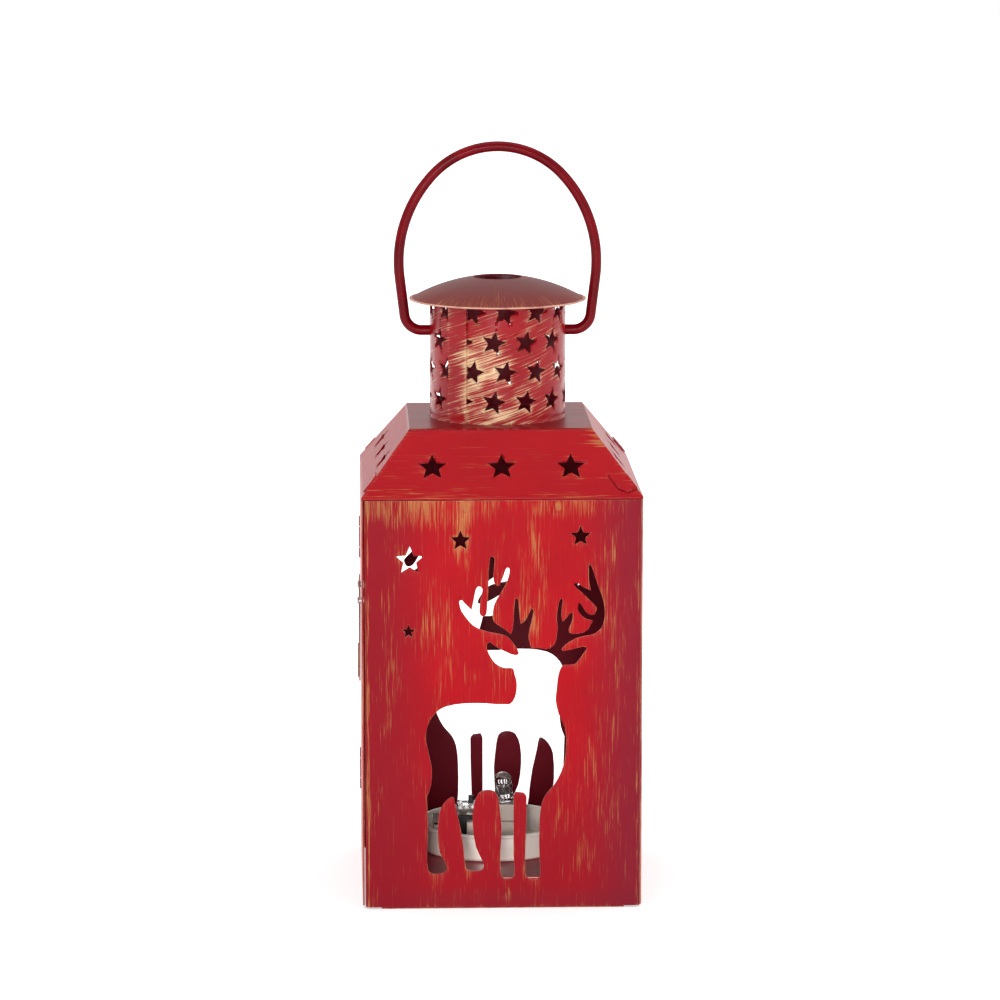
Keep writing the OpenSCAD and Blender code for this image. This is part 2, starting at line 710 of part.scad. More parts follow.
// Centre line of the right half, from the pivot end up to the top
function bail_half_line() = concat([[bail_foot_x, pivot_z]],
    arc_points([bail_foot_x, bail_foot_z], bail_foot_r, -90, -bail_lean, bail_foot_steps),
    [bail_leg_top],
    arc_points(bail_side_c, bail_side_r, -bail_lean, 90 - bail_top_sweep, bail_side_steps),
    arc_points(bail_top_c, bail_top_r, 90 - bail_top_sweep, 90, bail_top_steps));
function bail_line() = let (half = bail_half_line())
    concat(half, [for (i = [len(half) - 2 : -1 : 0]) [-half[i][0], half[i][1]]]);

// Round wire bent along a line in the XZ plane, whose ends run along X
module bent_wire(line, r, sides) {
    n = len(line);
    way = [for (i = [0 : n - 1])
        i == 0 || i == n - 1 ? [1, 0] : unit(unit(line[i + 1] - line[i]) + unit(line[i] - line[i - 1]))];
    points = [for (i = [0 : n - 1], k = [0 : sides - 1]) let (a = 360 * k / sides)
        [line[i][0] - r * cos(a) * way[i][1], r * sin(a), line[i][1] + r * cos(a) * way[i][0]]];
    walls = [for (i = [0 : n - 2], k = [0 : sides - 1])
        let (a = i * sides + k, b = i * sides + (k + 1) % sides)
            each [[a, b, a + sides], [b, b + sides, a + sides]]];
    ends = [[for (k = [sides - 1 : -1 : 0]) k], [for (k = [0 : sides - 1]) (n - 1) * sides + k]];
    polyhedron(points, concat(walls, ends), convexity = 6);
}

// The two ends turn in the tube, so they are true cylinders that reach a little into the bent wire
module bail_handle() {
    color("#a01c26") {
        bent_wire(bail_line(), (wire_r + bail_skin) / cos(180 / bail_sides), bail_sides);
        for (s = [0, 180]) rotate([0, 0, s]) translate([tube_r - bail_in, 0, pivot_z])
            rotate([0, 90, 0]) cylinder(r = wire_r, h = bail_foot_x - tube_r + bail_in + bail_foot_r / 8);
    }
}

module side_door() {
    color(paint) difference() {
        union() {
            block([-half_w, door_front, door_z], [-half_w + sheet, door_back, door_z + door_h]);
            for (z = hinge_zs()) {
                barrel(z - knuckle_h / 2, knuckle_h);
                block([-half_w, door_back - over, z - knuckle_h / 2],
                    [-half_w + sheet, hinge_y, z + knuckle_h / 2]);
            }
        }
        pin_bore();
        translate([-half_w - over, stud_y, latch_z]) rotate([0, 90, 0])
            cylinder(r = stud_hole_r, h = sheet + 2 * over);
        translate([-half_w - over, rivet_y, latch_z]) rotate([0, 90, 0])
            cylinder(r = rivet_d / 2, h = sheet + 2 * over);
    }
}

module hinge_pins() {
    color("silver") for (z = hinge_zs()) translate([hinge_x, hinge_y, z - hinge_h / 2]) {
        cylinder(d = pin_d, h = hinge_h);
        translate([0, 0, hinge_h]) head(barrel_r);
        translate([0, 0, -head_t]) cylinder(d = pin_d, h = head_t);
    }
}

// The latch hangs from its rivet, and its hook opens to the front
module door_latch() {
    r = latch_w / 2;
    color(paint) difference() {
        translate([latch_out, rivet_y, latch_z]) union() {
            rotate([0, 90, 0]) cylinder(r = r, h = latch_t);
            block([0, -r, -latch_tip_l], [latch_t, r, 0]);
            // Finger lip folded out along the back edge of the hook
            block([-latch_t, r - latch_t, -latch_tip_l], [0, r, latch_lip_share * latch_w - latch_tip_l]);
        }
        translate([latch_out - over, rivet_y, latch_z]) rotate([0, 90, 0])
            cylinder(r = rivet_d / 2 + pin_fit, h = latch_t + 2 * over);
        translate([latch_out - over, rivet_y, latch_z - latch_reach]) {
            rotate([0, 90, 0]) cylinder(r = latch_slot_r, h = latch_t + 2 * over);
            block([0, -latch_w, -latch_slot_r], [latch_t + 2 * over, 0, latch_slot_r]);
        }
    }
}

module latch_rivet() {
    color("silver") translate([-half_w + sheet, rivet_y, latch_z]) rotate([0, -90, 0]) {
        reach = sheet + gap + latch_t + 2 * seat;
        cylinder(d = rivet_d, h = reach);
        translate([0, 0, reach]) head(rivet_head_r);
        mirror([0, 0, 1]) head(rivet_head_r);
    }
}

module latch_stud() {
    color("silver") translate([inner_left, stud_y, latch_z]) rotate([0, -90, 0]) {
        reach = inner_left - latch_out + gap;
        cylinder(d = stud_d, h = reach);
        translate([0, 0, reach]) head(stud_head_r);
        mirror([0, 0, 1]) head(stud_head_r);
    }
}

module light_cup() {
    color(bright_tin) translate([cup_x, 0, pan_h]) difference() {
        union() {
            cylinder(r = cup_r, h = cup_h - cup_bead_r);
            translate([0, 0, cup_h - cup_bead_r]) rotate_extrude()
                translate([cup_r, 0]) circle(cup_bead_r);
        }
        translate([0, 0, cup_sheet]) cylinder(r = cup_r - cup_sheet, h = cup_h + over);
        for (y = [-cup_rivet_y, cup_rivet_y]) translate([0, y, -over])
            cylinder(r = cup_rivet_r, h = cup_sheet + 2 * over);
    }
}

module cup_rivets() {
    color("silver") for (y = [-cup_rivet_y, cup_rivet_y]) translate([cup_x, y, cup_floor_z]) {
        head(cup_rivet_head_r);
        translate([0, 0, -cup_sheet]) cylinder(r = cup_rivet_r, h = cup_sheet);
    }
}

module lead_holes(z, h) {
    for (s = [-1, 1]) translate([led_x + s * lead_pitch / 2, 0, z - over])
        cylinder(r = lead_r + lead_fit, h = h + 2 * over);
}

module circuit_board() {
    color("#2f6b4a") difference() {
        block([board_left, -board_w / 2, board_z], [board_right, board_w / 2, board_top]);
        lead_holes(board_z, board_t);
    }
}

module battery_box() {
    color(plastic) difference() {
        block([box_left, -box_l / 2, board_top], [box_right, box_l / 2, lid_z + lid_t]);
        block([box_left + box_wall, -box_in_l / 2, board_top + box_wall],
            [box_right - box_wall, box_in_l / 2, lid_z + lid_t + over]);
        // The lid's runners are open to the front
        block([box_left + box_wall - lid_lip, -box_l / 2 - over, lid_z],
            [box_right - box_wall + lid_lip, box_in_l / 2, lid_z + lid_t / 2]);
        block([box_left + box_wall, -box_l / 2 - over, lid_z],
            [box_right - box_wall, 0, lid_z + lid_t + over]);
    }
}

module battery_lid() {
    play = slide_fit;
    left = box_left + box_wall + play;
    right = box_right - box_wall - play;
    color(plastic) {
        block([left - lid_lip, -box_l / 2, lid_z + play],
            [right + lid_lip, box_in_l / 2 - play, lid_z + lid_t / 2 - play / 2]);
        block([left, -box_l / 2, lid_z + play], [right, box_in_l / 2 - play, lid_z + lid_t]);
    }
}

module button_cells() {
    color("silver") for (k = [0 : cells - 1])
        translate([(box_left + box_right) / 2, stack_y + (k + 1) * cell_t, cell_z]) rotate([90, 0, 0]) {
            cylinder(d = cell_d, h = cell_can_share * cell_t);
            cylinder(d = cell_d - 2 * cell_rim_w, h = cell_t - seat);
        }
}

module battery_contacts() {
    left = (box_left + box_right - contact_w) / 2;
    right = left + contact_w;
    low = board_top + box_wall;
    high = low + cell_d;
    back = box_in_l / 2;
    bow_r = contact_w;
    bow_y = stack_y + stack_l + seat;
    color("#d9c27a") {
        block([left, -back, low], [right, -back + contact_t, high]);
        block([left, back - contact_t, low], [right, back, high]);
        // Bowed leaf that presses on the last cell
        intersection() {
            translate([left, bow_y + bow_r, cell_z]) rotate([0, 90, 0]) difference() {
                cylinder(r = bow_r, h = contact_w);
                translate([0, 0, -over]) cylinder(r = bow_r - contact_t, h = contact_w + 2 * over);
            }
            block([left, bow_y, low + seat], [right, back - contact_t / 2, high - seat]);
        }
    }
}

module light_holder() {
    color(plastic) difference() {
        union() {
            block([holder_left, -holder_w / 2, board_top],
                [holder_right, holder_w / 2, board_top + holder_h]);
            block([tower_left, -tower_w / 2, board_top],
                [holder_right, tower_w / 2, board_top + tower_h]);
        }
        block([holder_left - over, -switch_w / 2 - seat, board_top - over],
            [switch_right + seat, switch_w / 2 + seat, board_top + holder_h + over]);
        lead_holes(board_top, tower_h);
    }
}

module at_led() {
    translate([led_x, 0, led_base_z]) rotate([0, -led_lean, 0]) children();
}

// Two posts, grown by a play: the right one carries the small bowl, and both run down through the board
module posts(play) {
    for (s = [-1, 1]) {
        translate([led_x + s * lead_pitch / 2, 0, board_z])
            cylinder(r = lead_r + play, h = led_base_z - board_z + lead_r + play);
        at_led() translate([s * lead_pitch / 2, 0, 0]) {
            cylinder(r = lead_r + play, h = post_h + play);
            if (s > 0) translate([-lead_r, 0, post_h - bowl_h / 2])
                cylinder(r1 = lead_r + play, r2 = bowl_r + play, h = bowl_h + play);
        }
    }
}

module led_capsule() {
    r = led_d / 2;
    color("#e8eef2", 0.5) difference() {
        at_led() {
            cylinder(r = led_collar_r, h = led_collar_h);
            cylinder(r = r, h = led_l - r);
            translate([0, 0, led_l - r]) sphere(r);
        }
        posts(seat);
    }
}

module led_leads() {
    color("silver") posts(0);
}

module switch_base() {
    color("#1d1c1e")
        block([switch_left, -switch_w / 2, board_top], [switch_right, switch_w / 2, switch_top]);
}

module switch_frame() {
    slot_left = knob_right - knob_w - switch_travel - slide_fit;
    color("#c9cbce") difference() {
        block([switch_left, -switch_w / 2, switch_top], [switch_right, switch_w / 2, frame_top]);
        block([switch_left + frame_t, -switch_w / 2 + frame_t, switch_top - over],
            [switch_right - frame_t, switch_w / 2 - frame_t, frame_top - frame_t]);
        block([slot_left, -knob_w / 2 - slide_fit, switch_top],
            [knob_right + slide_fit, knob_w / 2 + slide_fit, frame_top + over]);
    }
}

module switch_slider() {
    slider_right = switch_right - frame_t - slide_fit;
    color("#141416") {
        block([slider_right - slider_l, -switch_w / 2 + frame_t + slide_fit, switch_top + seat],
            [slider_right, switch_w / 2 - frame_t - slide_fit, switch_top + slider_h]);
        block([knob_right - knob_w, -knob_w / 2, switch_top + slider_h],
            [knob_right, knob_w / 2, frame_top + knob_h]);
    }
}

base_pan();
front_wall();
back_wall();
right_wall();
roof();
chimney_tube();
cap();
bail_handle();
side_door();
hinge_pins();
door_latch();
latch_rivet();
latch_stud();
light_cup();
cup_rivets();
circuit_board();
battery_box();
battery_lid();
button_cells();
battery_contacts();
light_holder();
led_capsule();
led_leads();
switch_base();
switch_frame();
switch_slider();
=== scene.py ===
"""Looks of a square red tin lantern with a stag cut-out, a star-pierced chimney and a battery light."""
import logging
import math
from dataclasses import dataclass, field
from enum import Enum
from functools import partial, reduce
from typing import Sequence

import bmesh
import bpy
import numpy as np
from mathutils import Matrix, Vector


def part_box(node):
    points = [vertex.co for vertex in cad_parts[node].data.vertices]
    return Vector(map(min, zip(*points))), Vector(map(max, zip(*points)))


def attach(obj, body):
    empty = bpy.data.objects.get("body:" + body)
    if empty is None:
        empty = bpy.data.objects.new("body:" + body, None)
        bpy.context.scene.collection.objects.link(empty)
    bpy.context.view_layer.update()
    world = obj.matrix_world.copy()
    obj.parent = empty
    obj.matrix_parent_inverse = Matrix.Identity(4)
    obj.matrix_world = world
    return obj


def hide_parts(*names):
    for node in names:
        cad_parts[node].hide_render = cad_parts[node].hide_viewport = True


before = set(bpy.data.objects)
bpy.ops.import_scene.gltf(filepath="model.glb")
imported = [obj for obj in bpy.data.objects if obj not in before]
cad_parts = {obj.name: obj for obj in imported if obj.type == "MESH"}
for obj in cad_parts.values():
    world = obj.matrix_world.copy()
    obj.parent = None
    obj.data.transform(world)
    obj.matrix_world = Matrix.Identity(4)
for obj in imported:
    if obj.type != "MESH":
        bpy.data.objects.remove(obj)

Colour = tuple[float, float, float]
Socket = bpy.types.NodeSocket
MM = 0.001
RIGHT, BACK, UP = Vector((1, 0, 0)), Vector((0, 1, 0)), Vector((0, 0, 1))
# Point inside the body, away from which the painted outer faces look
CORE = np.array((0.0, 0.0, 60 * MM))
# Angle past which an edge is sharp, and is rounded and worn
SHARP = math.radians(50)
# Distance from the cap's middle at which a turn about it is counted as a length
CAP_SPREAD = 20 * MM
# Shift of the stroke pattern from one side of a piece to the next
SIDE_SHIFT = (0.31, 0.17)
# A noise's whole range, in steps of its usual spread
NOISE_STEPS = 8.5
# Pieces inside the lantern that a lamp of their own lights
INSIDE = ("cup_shell", "circuit_board_made", "battery_box_made", "battery_lid_made", "light_holder_made")
log = logging.getLogger("lantern")
logging.basicConfig(level=logging.INFO, format="%(message)s")


class Brush(Enum):
    """Way in which the gold brush was drawn over a painted piece."""

    DOWN = "down the walls"
    ALONG = "along the eave"
    ROUND = "round the tube"
    RADIAL = "from the middle of the cap to its rim"


def stroke_places(brush: Brush, co: np.ndarray, normal: np.ndarray) -> np.ndarray:
    """Gives surface points' places in the brush's own directions.

    Args:
        brush: the way in which the brush was drawn.
        co: the points, in metres, one in a row.
        normal: the directions that their faces look in.

    Returns:
        Rows of the distance along the stroke, the distance across it, and the number of the piece's side.
    """
    x, y, z = co.T
    if brush is Brush.ROUND:
        inward = normal[:, 0] * x + normal[:, 1] * y < 0
        return np.column_stack((np.arctan2(x, -y) * np.hypot(x, y), z, inward))
    if brush is Brush.RADIAL:
        return np.column_stack((np.hypot(x, y), np.arctan2(x, -y) * CAP_SPREAD, normal[:, 2] < 0))
    size = np.abs(normal)
    if brush is Brush.ALONG:
        flat, front = size[:, 2] > 0.9, size[:, 1] >= size[:, 0]
        side = np.where(front, normal[:, 1] > 0, 2 + (normal[:, 0] > 0))
        side = np.where(flat, 4 + (normal[:, 2] < 0), side)
        return np.column_stack((np.where(flat | front, x, y), np.where(flat, y, z), side))
    axis = size.argmax(axis=1)
    side = 2 * axis + (np.take_along_axis(normal, axis[:, None], 1)[:, 0] > 0)
    return np.column_stack((np.where(axis == 2, y, -z), np.where(axis == 0, y, x), side))


@dataclass(frozen=True)
class Wear:
    """How far gold was dragged from a cut edge, in metres: onwards, sideways and backwards."""

    along: float = 2.2 * MM
    across: float = 0.32 * MM
    back: float = 0.25 * MM


def edge_samples(bm: bmesh.types.BMesh, brush: Brush, step: float) -> np.ndarray:
    """Collects points along the sharp edges of a mesh in the brush's directions.

    Args:
        bm: the mesh.
        brush: the way in which the brush was drawn.
        step: the distance between points.

    Returns:
        Rows of along, across and side.
    """
    points, normals = [], []
    for edge in bm.edges:
        if len(edge.link_faces) != 2 or edge.calc_face_angle(0) < SHARP:
            continue
        a, b = (v.co for v in edge.verts)
        count = max(1, int((b - a).length / step))
        for i in range(count):
            points += [tuple(a.lerp(b, (i + 0.5) / count))] * 2
            normals += [tuple(face.normal) for face in edge.link_faces]
    return stroke_places(brush, np.array(points), np.array(normals))


def halo_at(places: np.ndarray, edges: np.ndarray, wear: Wear) -> np.ndarray:
    """Works out how strongly the gold of nearby edges reaches each place.

    Args:
        places: rows of along, across and side.
        edges: the same for points on the edges.
        wear: how the gold was dragged.

    Returns:
        A share for each place.
    """
    halo = np.zeros(len(places))
    reach, chunk_size, fade_power = 4 * wear.across, 200, 1.5
    for side in np.unique(places[:, 2]):
        mine = np.flatnonzero(places[:, 2] == side)
        mine = mine[np.argsort(places[mine, 1])]
        near = edges[edges[:, 2] == side]
        near = near[np.argsort(near[:, 1])]
        for chunk in np.array_split(mine, max(1, len(mine) // chunk_size)):
            low, high = places[chunk[0], 1] - reach, places[chunk[-1], 1] + reach
            band = near[np.searchsorted(near[:, 1], low):np.searchsorted(near[:, 1], high)]
            if not len(band):
                continue
            along = places[chunk, None, 0] - band[None, :, 0]
            across = np.abs(places[chunk, None, 1] - band[None, :, 1])
            drag = np.where(along > 0, along / wear.along, -along / wear.back)
            halo[chunk] = np.exp(-drag - (across / wear.across) ** fade_power).max(axis=1)
    return halo


def read_values(rows: bpy.types.bpy_prop_collection, key: str, kind: type, width: int = 1) -> np.ndarray:
    """Reads one property of all elements of a mesh.

    Args:
        rows: the elements.
        key: the property's name.
        kind: the type of its numbers.
        width: how many numbers each element has.

    Returns:
        A number, or a row of them, for each element.
    """
    out = np.empty(len(rows) * width, kind)
    rows.foreach_get(key, out)
    return out.reshape(-1, width) if width > 1 else out


def lay_strokes(mesh: bpy.types.Mesh, brush: Brush, edges: np.ndarray, wear: Wear) -> None:
    """Writes the brush's directions and the wear at cut edges into two UV maps.

    The first map, "strokes", holds along and across. The second, "wear", holds the halo at cut edges, and a
    mark: 0 for a face that looks inwards, 0.5 for one that looks outwards, 1 for the rounding of a cut edge.

    Args:
        mesh: the mesh, with its final faces.
        brush: the way in which the brush was drawn.
        edges: the points that edge_samples gave.
        wear: how the gold was dragged.
    """
    spot = read_values(mesh.vertices, "co", np.float32, 3).astype(float)
    vertex = read_values(mesh.loops, "vertex_index", np.int32)
    count = read_values(mesh.polygons, "loop_total", np.int32)
    normal = np.repeat(read_values(mesh.polygons, "normal", np.float32, 3), count, axis=0)
    centre = np.repeat(read_values(mesh.polygons, "center", np.float32, 3), count, axis=0)
    co = spot[vertex]
    places = stroke_places(brush, co, normal)
    most_sides = 8
    codes = vertex * most_sides + places[:, 2].astype(int)
    _, first, inverse = np.unique(codes, return_index=True, return_inverse=True)
    halo = halo_at(places[first], edges, wear)[inverse]
    outside = np.einsum("ij,ij->i", normal, centre - CORE) > 0
    if brush in (Brush.ROUND, Brush.RADIAL):
        angle = np.arctan2(co[:, 0], -co[:, 1])
        turn = np.round((np.arctan2(centre[:, 0], -centre[:, 1]) - angle) / math.tau) * math.tau
        if brush is Brush.ROUND:
            places[:, 0] += turn * np.hypot(co[:, 0], co[:, 1])
        else:
            places[:, 1] += turn * CAP_SPREAD
    mark = 0.5 * outside
    if "cut" in mesh.attributes:
        cut = np.repeat(read_values(mesh.attributes["cut"].data, "value", np.int32), count)
        mark = np.where(cut > 0, 1.0, mark)
    strokes = places[:, :2] + places[:, 2:] * SIDE_SHIFT
    for name, flat in (("strokes", strokes), ("wear", np.column_stack((halo * outside, mark)))):
        mesh.uv_layers.new(name=name).data.foreach_set("uv", flat.astype(np.float32).ravel())


@dataclass
class Nodes:
    """A node tree under construction, with short ways to add nodes."""

    tree: bpy.types.NodeTree

    def add(self, kind: str, *values: object, **settings: object) -> bpy.types.Node:
        """Adds a node.

        Args:
            kind: the node's type.
            values: what its first sockets get, each a value or another socket.
            settings: the properties to set.

        Returns:
            The new node.
        """
        node = self.tree.nodes.new(kind)
        for key, value in settings.items():
            setattr(node, key, value)
        for socket, value in zip(node.inputs, values):
            self.feed(socket, value)
        return node

    def feed(self, socket: Socket, value: object) -> None:
        """Links a socket to another one, or sets its value.

        Args:
            socket: the socket to feed.
            value: the other socket, or the value.
        """
        if isinstance(value, Socket):
            self.tree.links.new(value, socket)
        else:
            socket.default_value = value

    def math(self, operation: str, a: object, b: object = 0.0, clamp: bool = False) -> Socket:
        """Adds a Math node and returns its result."""
        return self.add("ShaderNodeMath", a, b, operation=operation, use_clamp=clamp).outputs[0]

    def total(self, start: object, *parts: tuple[object, float]) -> Socket:
        """Adds weighted values to a first one.

        Args:
            start: the first value.
            parts: pairs of a value and its weight.

        Returns:
            The sum.
        """
        for value, weight in parts:
            start = self.add("ShaderNodeMath", value, weight, start, operation="MULTIPLY_ADD").outputs[0]
        return start

    def times(self, *values: object) -> Socket:
        """Multiplies two or more values and returns the product."""
        return reduce(partial(self.math, "MULTIPLY"), values)

    def split(self, vector: object) -> Sequence[Socket]:
        """Takes a vector apart into its three parts."""
        return self.add("ShaderNodeSeparateXYZ", vector).outputs[:3]

    def seen(self, *kinds: str) -> Socket:
        """Gives 1 for a ray of one of the kinds, such as Camera or Glossy, and 0 for all others."""
        path = self.add("ShaderNodeLightPath")
        return reduce(partial(self.math, "MAXIMUM"), [path.outputs[f"Is {kind} Ray"] for kind in kinds])

    def mix(self, share: object, a: object, b: object) -> Socket:
        """Mixes two colours.

        Args:
            share: the second colour's share.
            a: the first colour.
            b: the second colour.

        Returns:
            The mixed colour.
        """
        node = self.add("ShaderNodeMix", share, data_type="RGBA")
        for socket, colour in zip(node.inputs[6:8], (a, b)):
            self.feed(socket, colour if isinstance(colour, Socket) else (*colour, 1))
        return node.outputs[2]

    def span(self, value: object, low: float, high: float, to_low: float = 0.0,
             to_high: float = 1.0) -> Socket:
        """Maps the stretch from low to high smoothly to another one, and holds its ends."""
        ends = (low, high, to_low, to_high)
        return self.add("ShaderNodeMapRange", value, *ends, interpolation_type="SMOOTHSTEP").outputs[0]

    def noise(self, vector: object, scale: float, detail: float = 3.0,
              rough: float = 0.55) -> Socket:
        """Adds a noise texture.

        Args:
            vector: its coordinates.
            scale: its grains in a metre.
            detail: how many finer layers it has.
            rough: how strong they are.

        Returns:
            Its grey value.
        """
        node = self.add("ShaderNodeTexNoise", vector)
        for key, value in (("Scale", scale), ("Detail", detail), ("Roughness", rough)):
            node.inputs[key].default_value = value
        return node.outputs[0]

    def swing(self, vector: object, scale: Sequence[float], detail: float = 3.0) -> Socket:
        """Adds a stretched noise, counted in steps of its usual spread round zero."""
        grey = self.noise(self.stretched(vector, (*scale, 1)), 1.0, detail, 0.6)
        return self.math("MULTIPLY", self.math("SUBTRACT", grey, 0.5), NOISE_STEPS)

    def stretched(self, vector: object, scale: Sequence[float], turn: float = 0.0) -> Socket:
        """Scales a vector's parts one by one, and then turns it about Z."""
        settings = ((0, 0, 0), (0, 0, turn), scale)
        return self.add("ShaderNodeMapping", vector, *settings, vector_type="POINT").outputs[0]

    def uv(self, name: str) -> Socket:
        """Reads one of the piece's own UV maps."""
        return self.add("ShaderNodeUVMap", uv_map=name).outputs[0]

    def place(self) -> Socket:
        """Reads the Object coordinates, in metres."""
        return self.add("ShaderNodeTexCoord").outputs["Object"]

    def bump(self, height: object, distance: float, strength: float = 1.0,
             under: object = None) -> Socket:
        """Adds a bump.

        Args:
            height: its height, from 0 to 1.
            distance: how far a height of 1 stands out, in metres.
            strength: its share.
            under: the normal of a bump below it.

        Returns:
            The normal.
        """
        node = self.add("ShaderNodeBump")
        node.inputs["Distance"].default_value = distance
        node.inputs["Strength"].default_value = strength
        self.feed(node.inputs["Height"], height)
        if under is not None:
            self.feed(node.inputs["Normal"], under)
        return node.outputs[0]


class Sketch(Nodes):
    """A node material under construction."""

    def __init__(self, name: str) -> None:
        """Makes the empty material with its shader and output.

        Args:
            name: the material's name.
        """
        self.material = bpy.data.materials.new(name)
        self.material.use_nodes = True
        super().__init__(self.material.node_tree)
        self.shader = self.tree.nodes["Principled BSDF"]

    def finish(self, **inputs: object) -> bpy.types.Material:
        """Feeds the shader.

        Args:
            inputs: what its sockets get, by their names.

        Returns:
            The material.
        """
        for key, value in inputs.items():
            self.feed(self.shader.inputs[key.replace("_", " ")], value)
        return self.material


@dataclass(frozen=True)
class GoldSpot:
    """A patch, seen from the front, with more gold, in millimetres: mostly where the brush was pressed
    harder; on the walls the small spots on the joining dents are painted highlights, and the thin lines down
    the bent corners are worn gold with a painted highlight of the bends.
    """

    x: float
    z: float
    wide: float
    high: float
    gold_amount: float


@dataclass(frozen=True)
class AxisTint:
    """A tint that grows from one place on an axis to another, in millimetres; on the walls and the base pan
    it is painted shade.
    """

    colour: Colour
    start: float
    end: float
    share: float
    axis: int = 2


@dataclass(frozen=True)
class DryBrushedEnamel:
    """Satin red enamel with gold dragged over it by a nearly dry brush.

    The amount, the weights and the gold spots' amounts add up in steps of the strokes' usual spread. Gold
    shows from gold_from on and is full at gold_full. Patches and strokes are grains in a metre, along and
    across.
    """

    name: str
    red: Colour = (0.49, 0.004, 0.011)
    deep: Colour = (0.34, 0.003, 0.009)
    inner: Colour = (0.31, 0.017, 0.034)
    # Painted shade: the inward faces, the same enamel as outside, take this duller, darker red.
    gold: Colour = (0.47, 0.20, 0.07)
    highlight_cream: Colour = (0.86, 0.52, 0.40)
    scuff: Colour = (0.50, 0.07, 0.035)
    amount: float = 0.0
    halo: float = 1.1
    patch: tuple[float, float] = (55.0, 170.0)
    stroke: tuple[float, float] = (75.0, 2600.0)
    finer: tuple[float, float] = (2.2, 2.4)
    patch_weight: float = 0.45
    hair_weight: float = 0.9
    bristle_weight: float = 0.5
    gold_from: float = 1.0
    gold_full: float = 3.0
    edge_highlight_share: float = 0.85
    lean: float = 0.0
    gloss: float = 0.34
    shine: float = 0.1
    coat: float = 0.0
    opacity: float = 0.85
    dents: float = 0.1
    gold_spots: tuple[GoldSpot, ...] = ()
    axis_tints: tuple[AxisTint, ...] = ()

    def build(self) -> bpy.types.Material:
        """Makes the material.

        Returns:
            The node material, which reads the UV maps "strokes" and "wear".
        """
        s = Sketch(self.name)
        halo, mark, _ = s.split(s.uv("wear"))
        outside, rim = s.span(mark, 0.1, 0.4), s.span(mark, 0.6, 0.9)
        path = self.path(s)
        hairs = s.swing(path, self.stroke)
        bristles = s.swing(path, (self.stroke[0] * self.finer[0], self.stroke[1] * self.finer[1]), 2.0)
        patches = s.swing(path, self.patch, 2.0)
        gold_amount = s.total(self.amount, (patches, self.patch_weight), (halo, self.halo), *self.gold_spots_drawn(s))
        laid = s.total(gold_amount, (hairs, self.hair_weight), (bristles, self.bristle_weight))
        broken = s.span(bristles, -1.4, 0.8, 0.45, 1.0)
        gold = s.times(s.span(laid, self.gold_from, self.gold_full), outside, broken)
        gold = s.math("MULTIPLY", gold, self.opacity, clamp=True)
        bright_gold = tuple(min(1, 1.3 * g) for g in self.gold)
        gilt = s.mix(s.span(s.noise(path, 2600.0, 1.0), 0.4, 0.7), self.gold, bright_gold)
        # Painted highlight: cream laid on the rounded cut edges, broken up by noise.
        edge_highlight = s.times(rim, s.span(s.total(0.0, (patches, 0.8), (bristles, 0.3)), -2.0, 0.3))
        # Painted shade: the inward faces take the darker inner red.
        tone = s.mix(outside, self.inner, self.enamel(s, gold_amount, hairs, outside))
        colour = s.mix(s.times(edge_highlight, self.edge_highlight_share), s.mix(gold, tone, gilt), self.highlight_cream)
        sheet = s.bump(s.noise(s.place(), 55.0, 2.0), 3.0 * MM, self.dents)
        grain = s.bump(s.noise(s.place(), 3200.0, 2.0), 0.02 * MM, 0.3, sheet)
        normal = s.bump(s.total(0.0, (gold, 0.6), (hairs, 0.04)), 0.05 * MM, 0.5, grain)
        self.set_gloss(s)
        return s.finish(Base_Color=colour, Roughness=s.total(self.gloss, (hairs, 0.018)),
                        Metallic=s.times(gold, 0.15), Normal=normal)

    def enamel(self, s: Sketch, gold_amount: Socket, hairs: Socket,
               outside: Socket) -> Socket:
        """Gives the red under the gold, with its clouds, its scuffs, and its tints along an axis, which are
        painted shade on the walls and the base pan.

        Args:
            s: the material.
            gold_amount: how much gold is laid, from how hard the brush was pressed and from the painted
                highlights among the gold spots.
            hairs: the strokes.
            outside: 1 on outer faces, 0 on inner ones.

        Returns:
            The colour.
        """
        clouds = s.span(s.noise(s.place(), 45.0, 3.0), 0.35, 0.65)
        tone = s.mix(s.times(clouds, 0.4), self.red, self.deep)
        scuffs = s.span(s.total(s.times(gold_amount, 0.35), (hairs, self.hair_weight)), 0.4, 2.4)
        tone = s.mix(s.times(scuffs, outside, 0.35), tone, self.scuff)
        tone = s.mix(s.times(s.span(hairs, -0.4, -2.2), 0.35), tone, self.deep)
        spot = s.split(s.place())
        for axis_tint in self.axis_tints:
            grown = s.span(spot[axis_tint.axis], axis_tint.start * MM, axis_tint.end * MM)
            tone = s.mix(s.times(grown, axis_tint.share), tone, axis_tint.colour)
        return tone

    def path(self, s: Sketch) -> Socket:
        """Gives the strokes' coordinates, turned by their lean and wandering a little sideways.

        Args:
            s: the material.

        Returns:
            The coordinates.
        """
        straight = s.stretched(s.uv("strokes"), (1, 1, 1), self.lean)
        wander = s.noise(s.stretched(straight, (60, 90, 1)), 1.0, 1.0)
        drift = s.add("ShaderNodeCombineXYZ", 0.0, s.times(wander, 0.6 * MM)).outputs[0]
        return s.add("ShaderNodeVectorMath", straight, drift, operation="ADD").outputs[0]

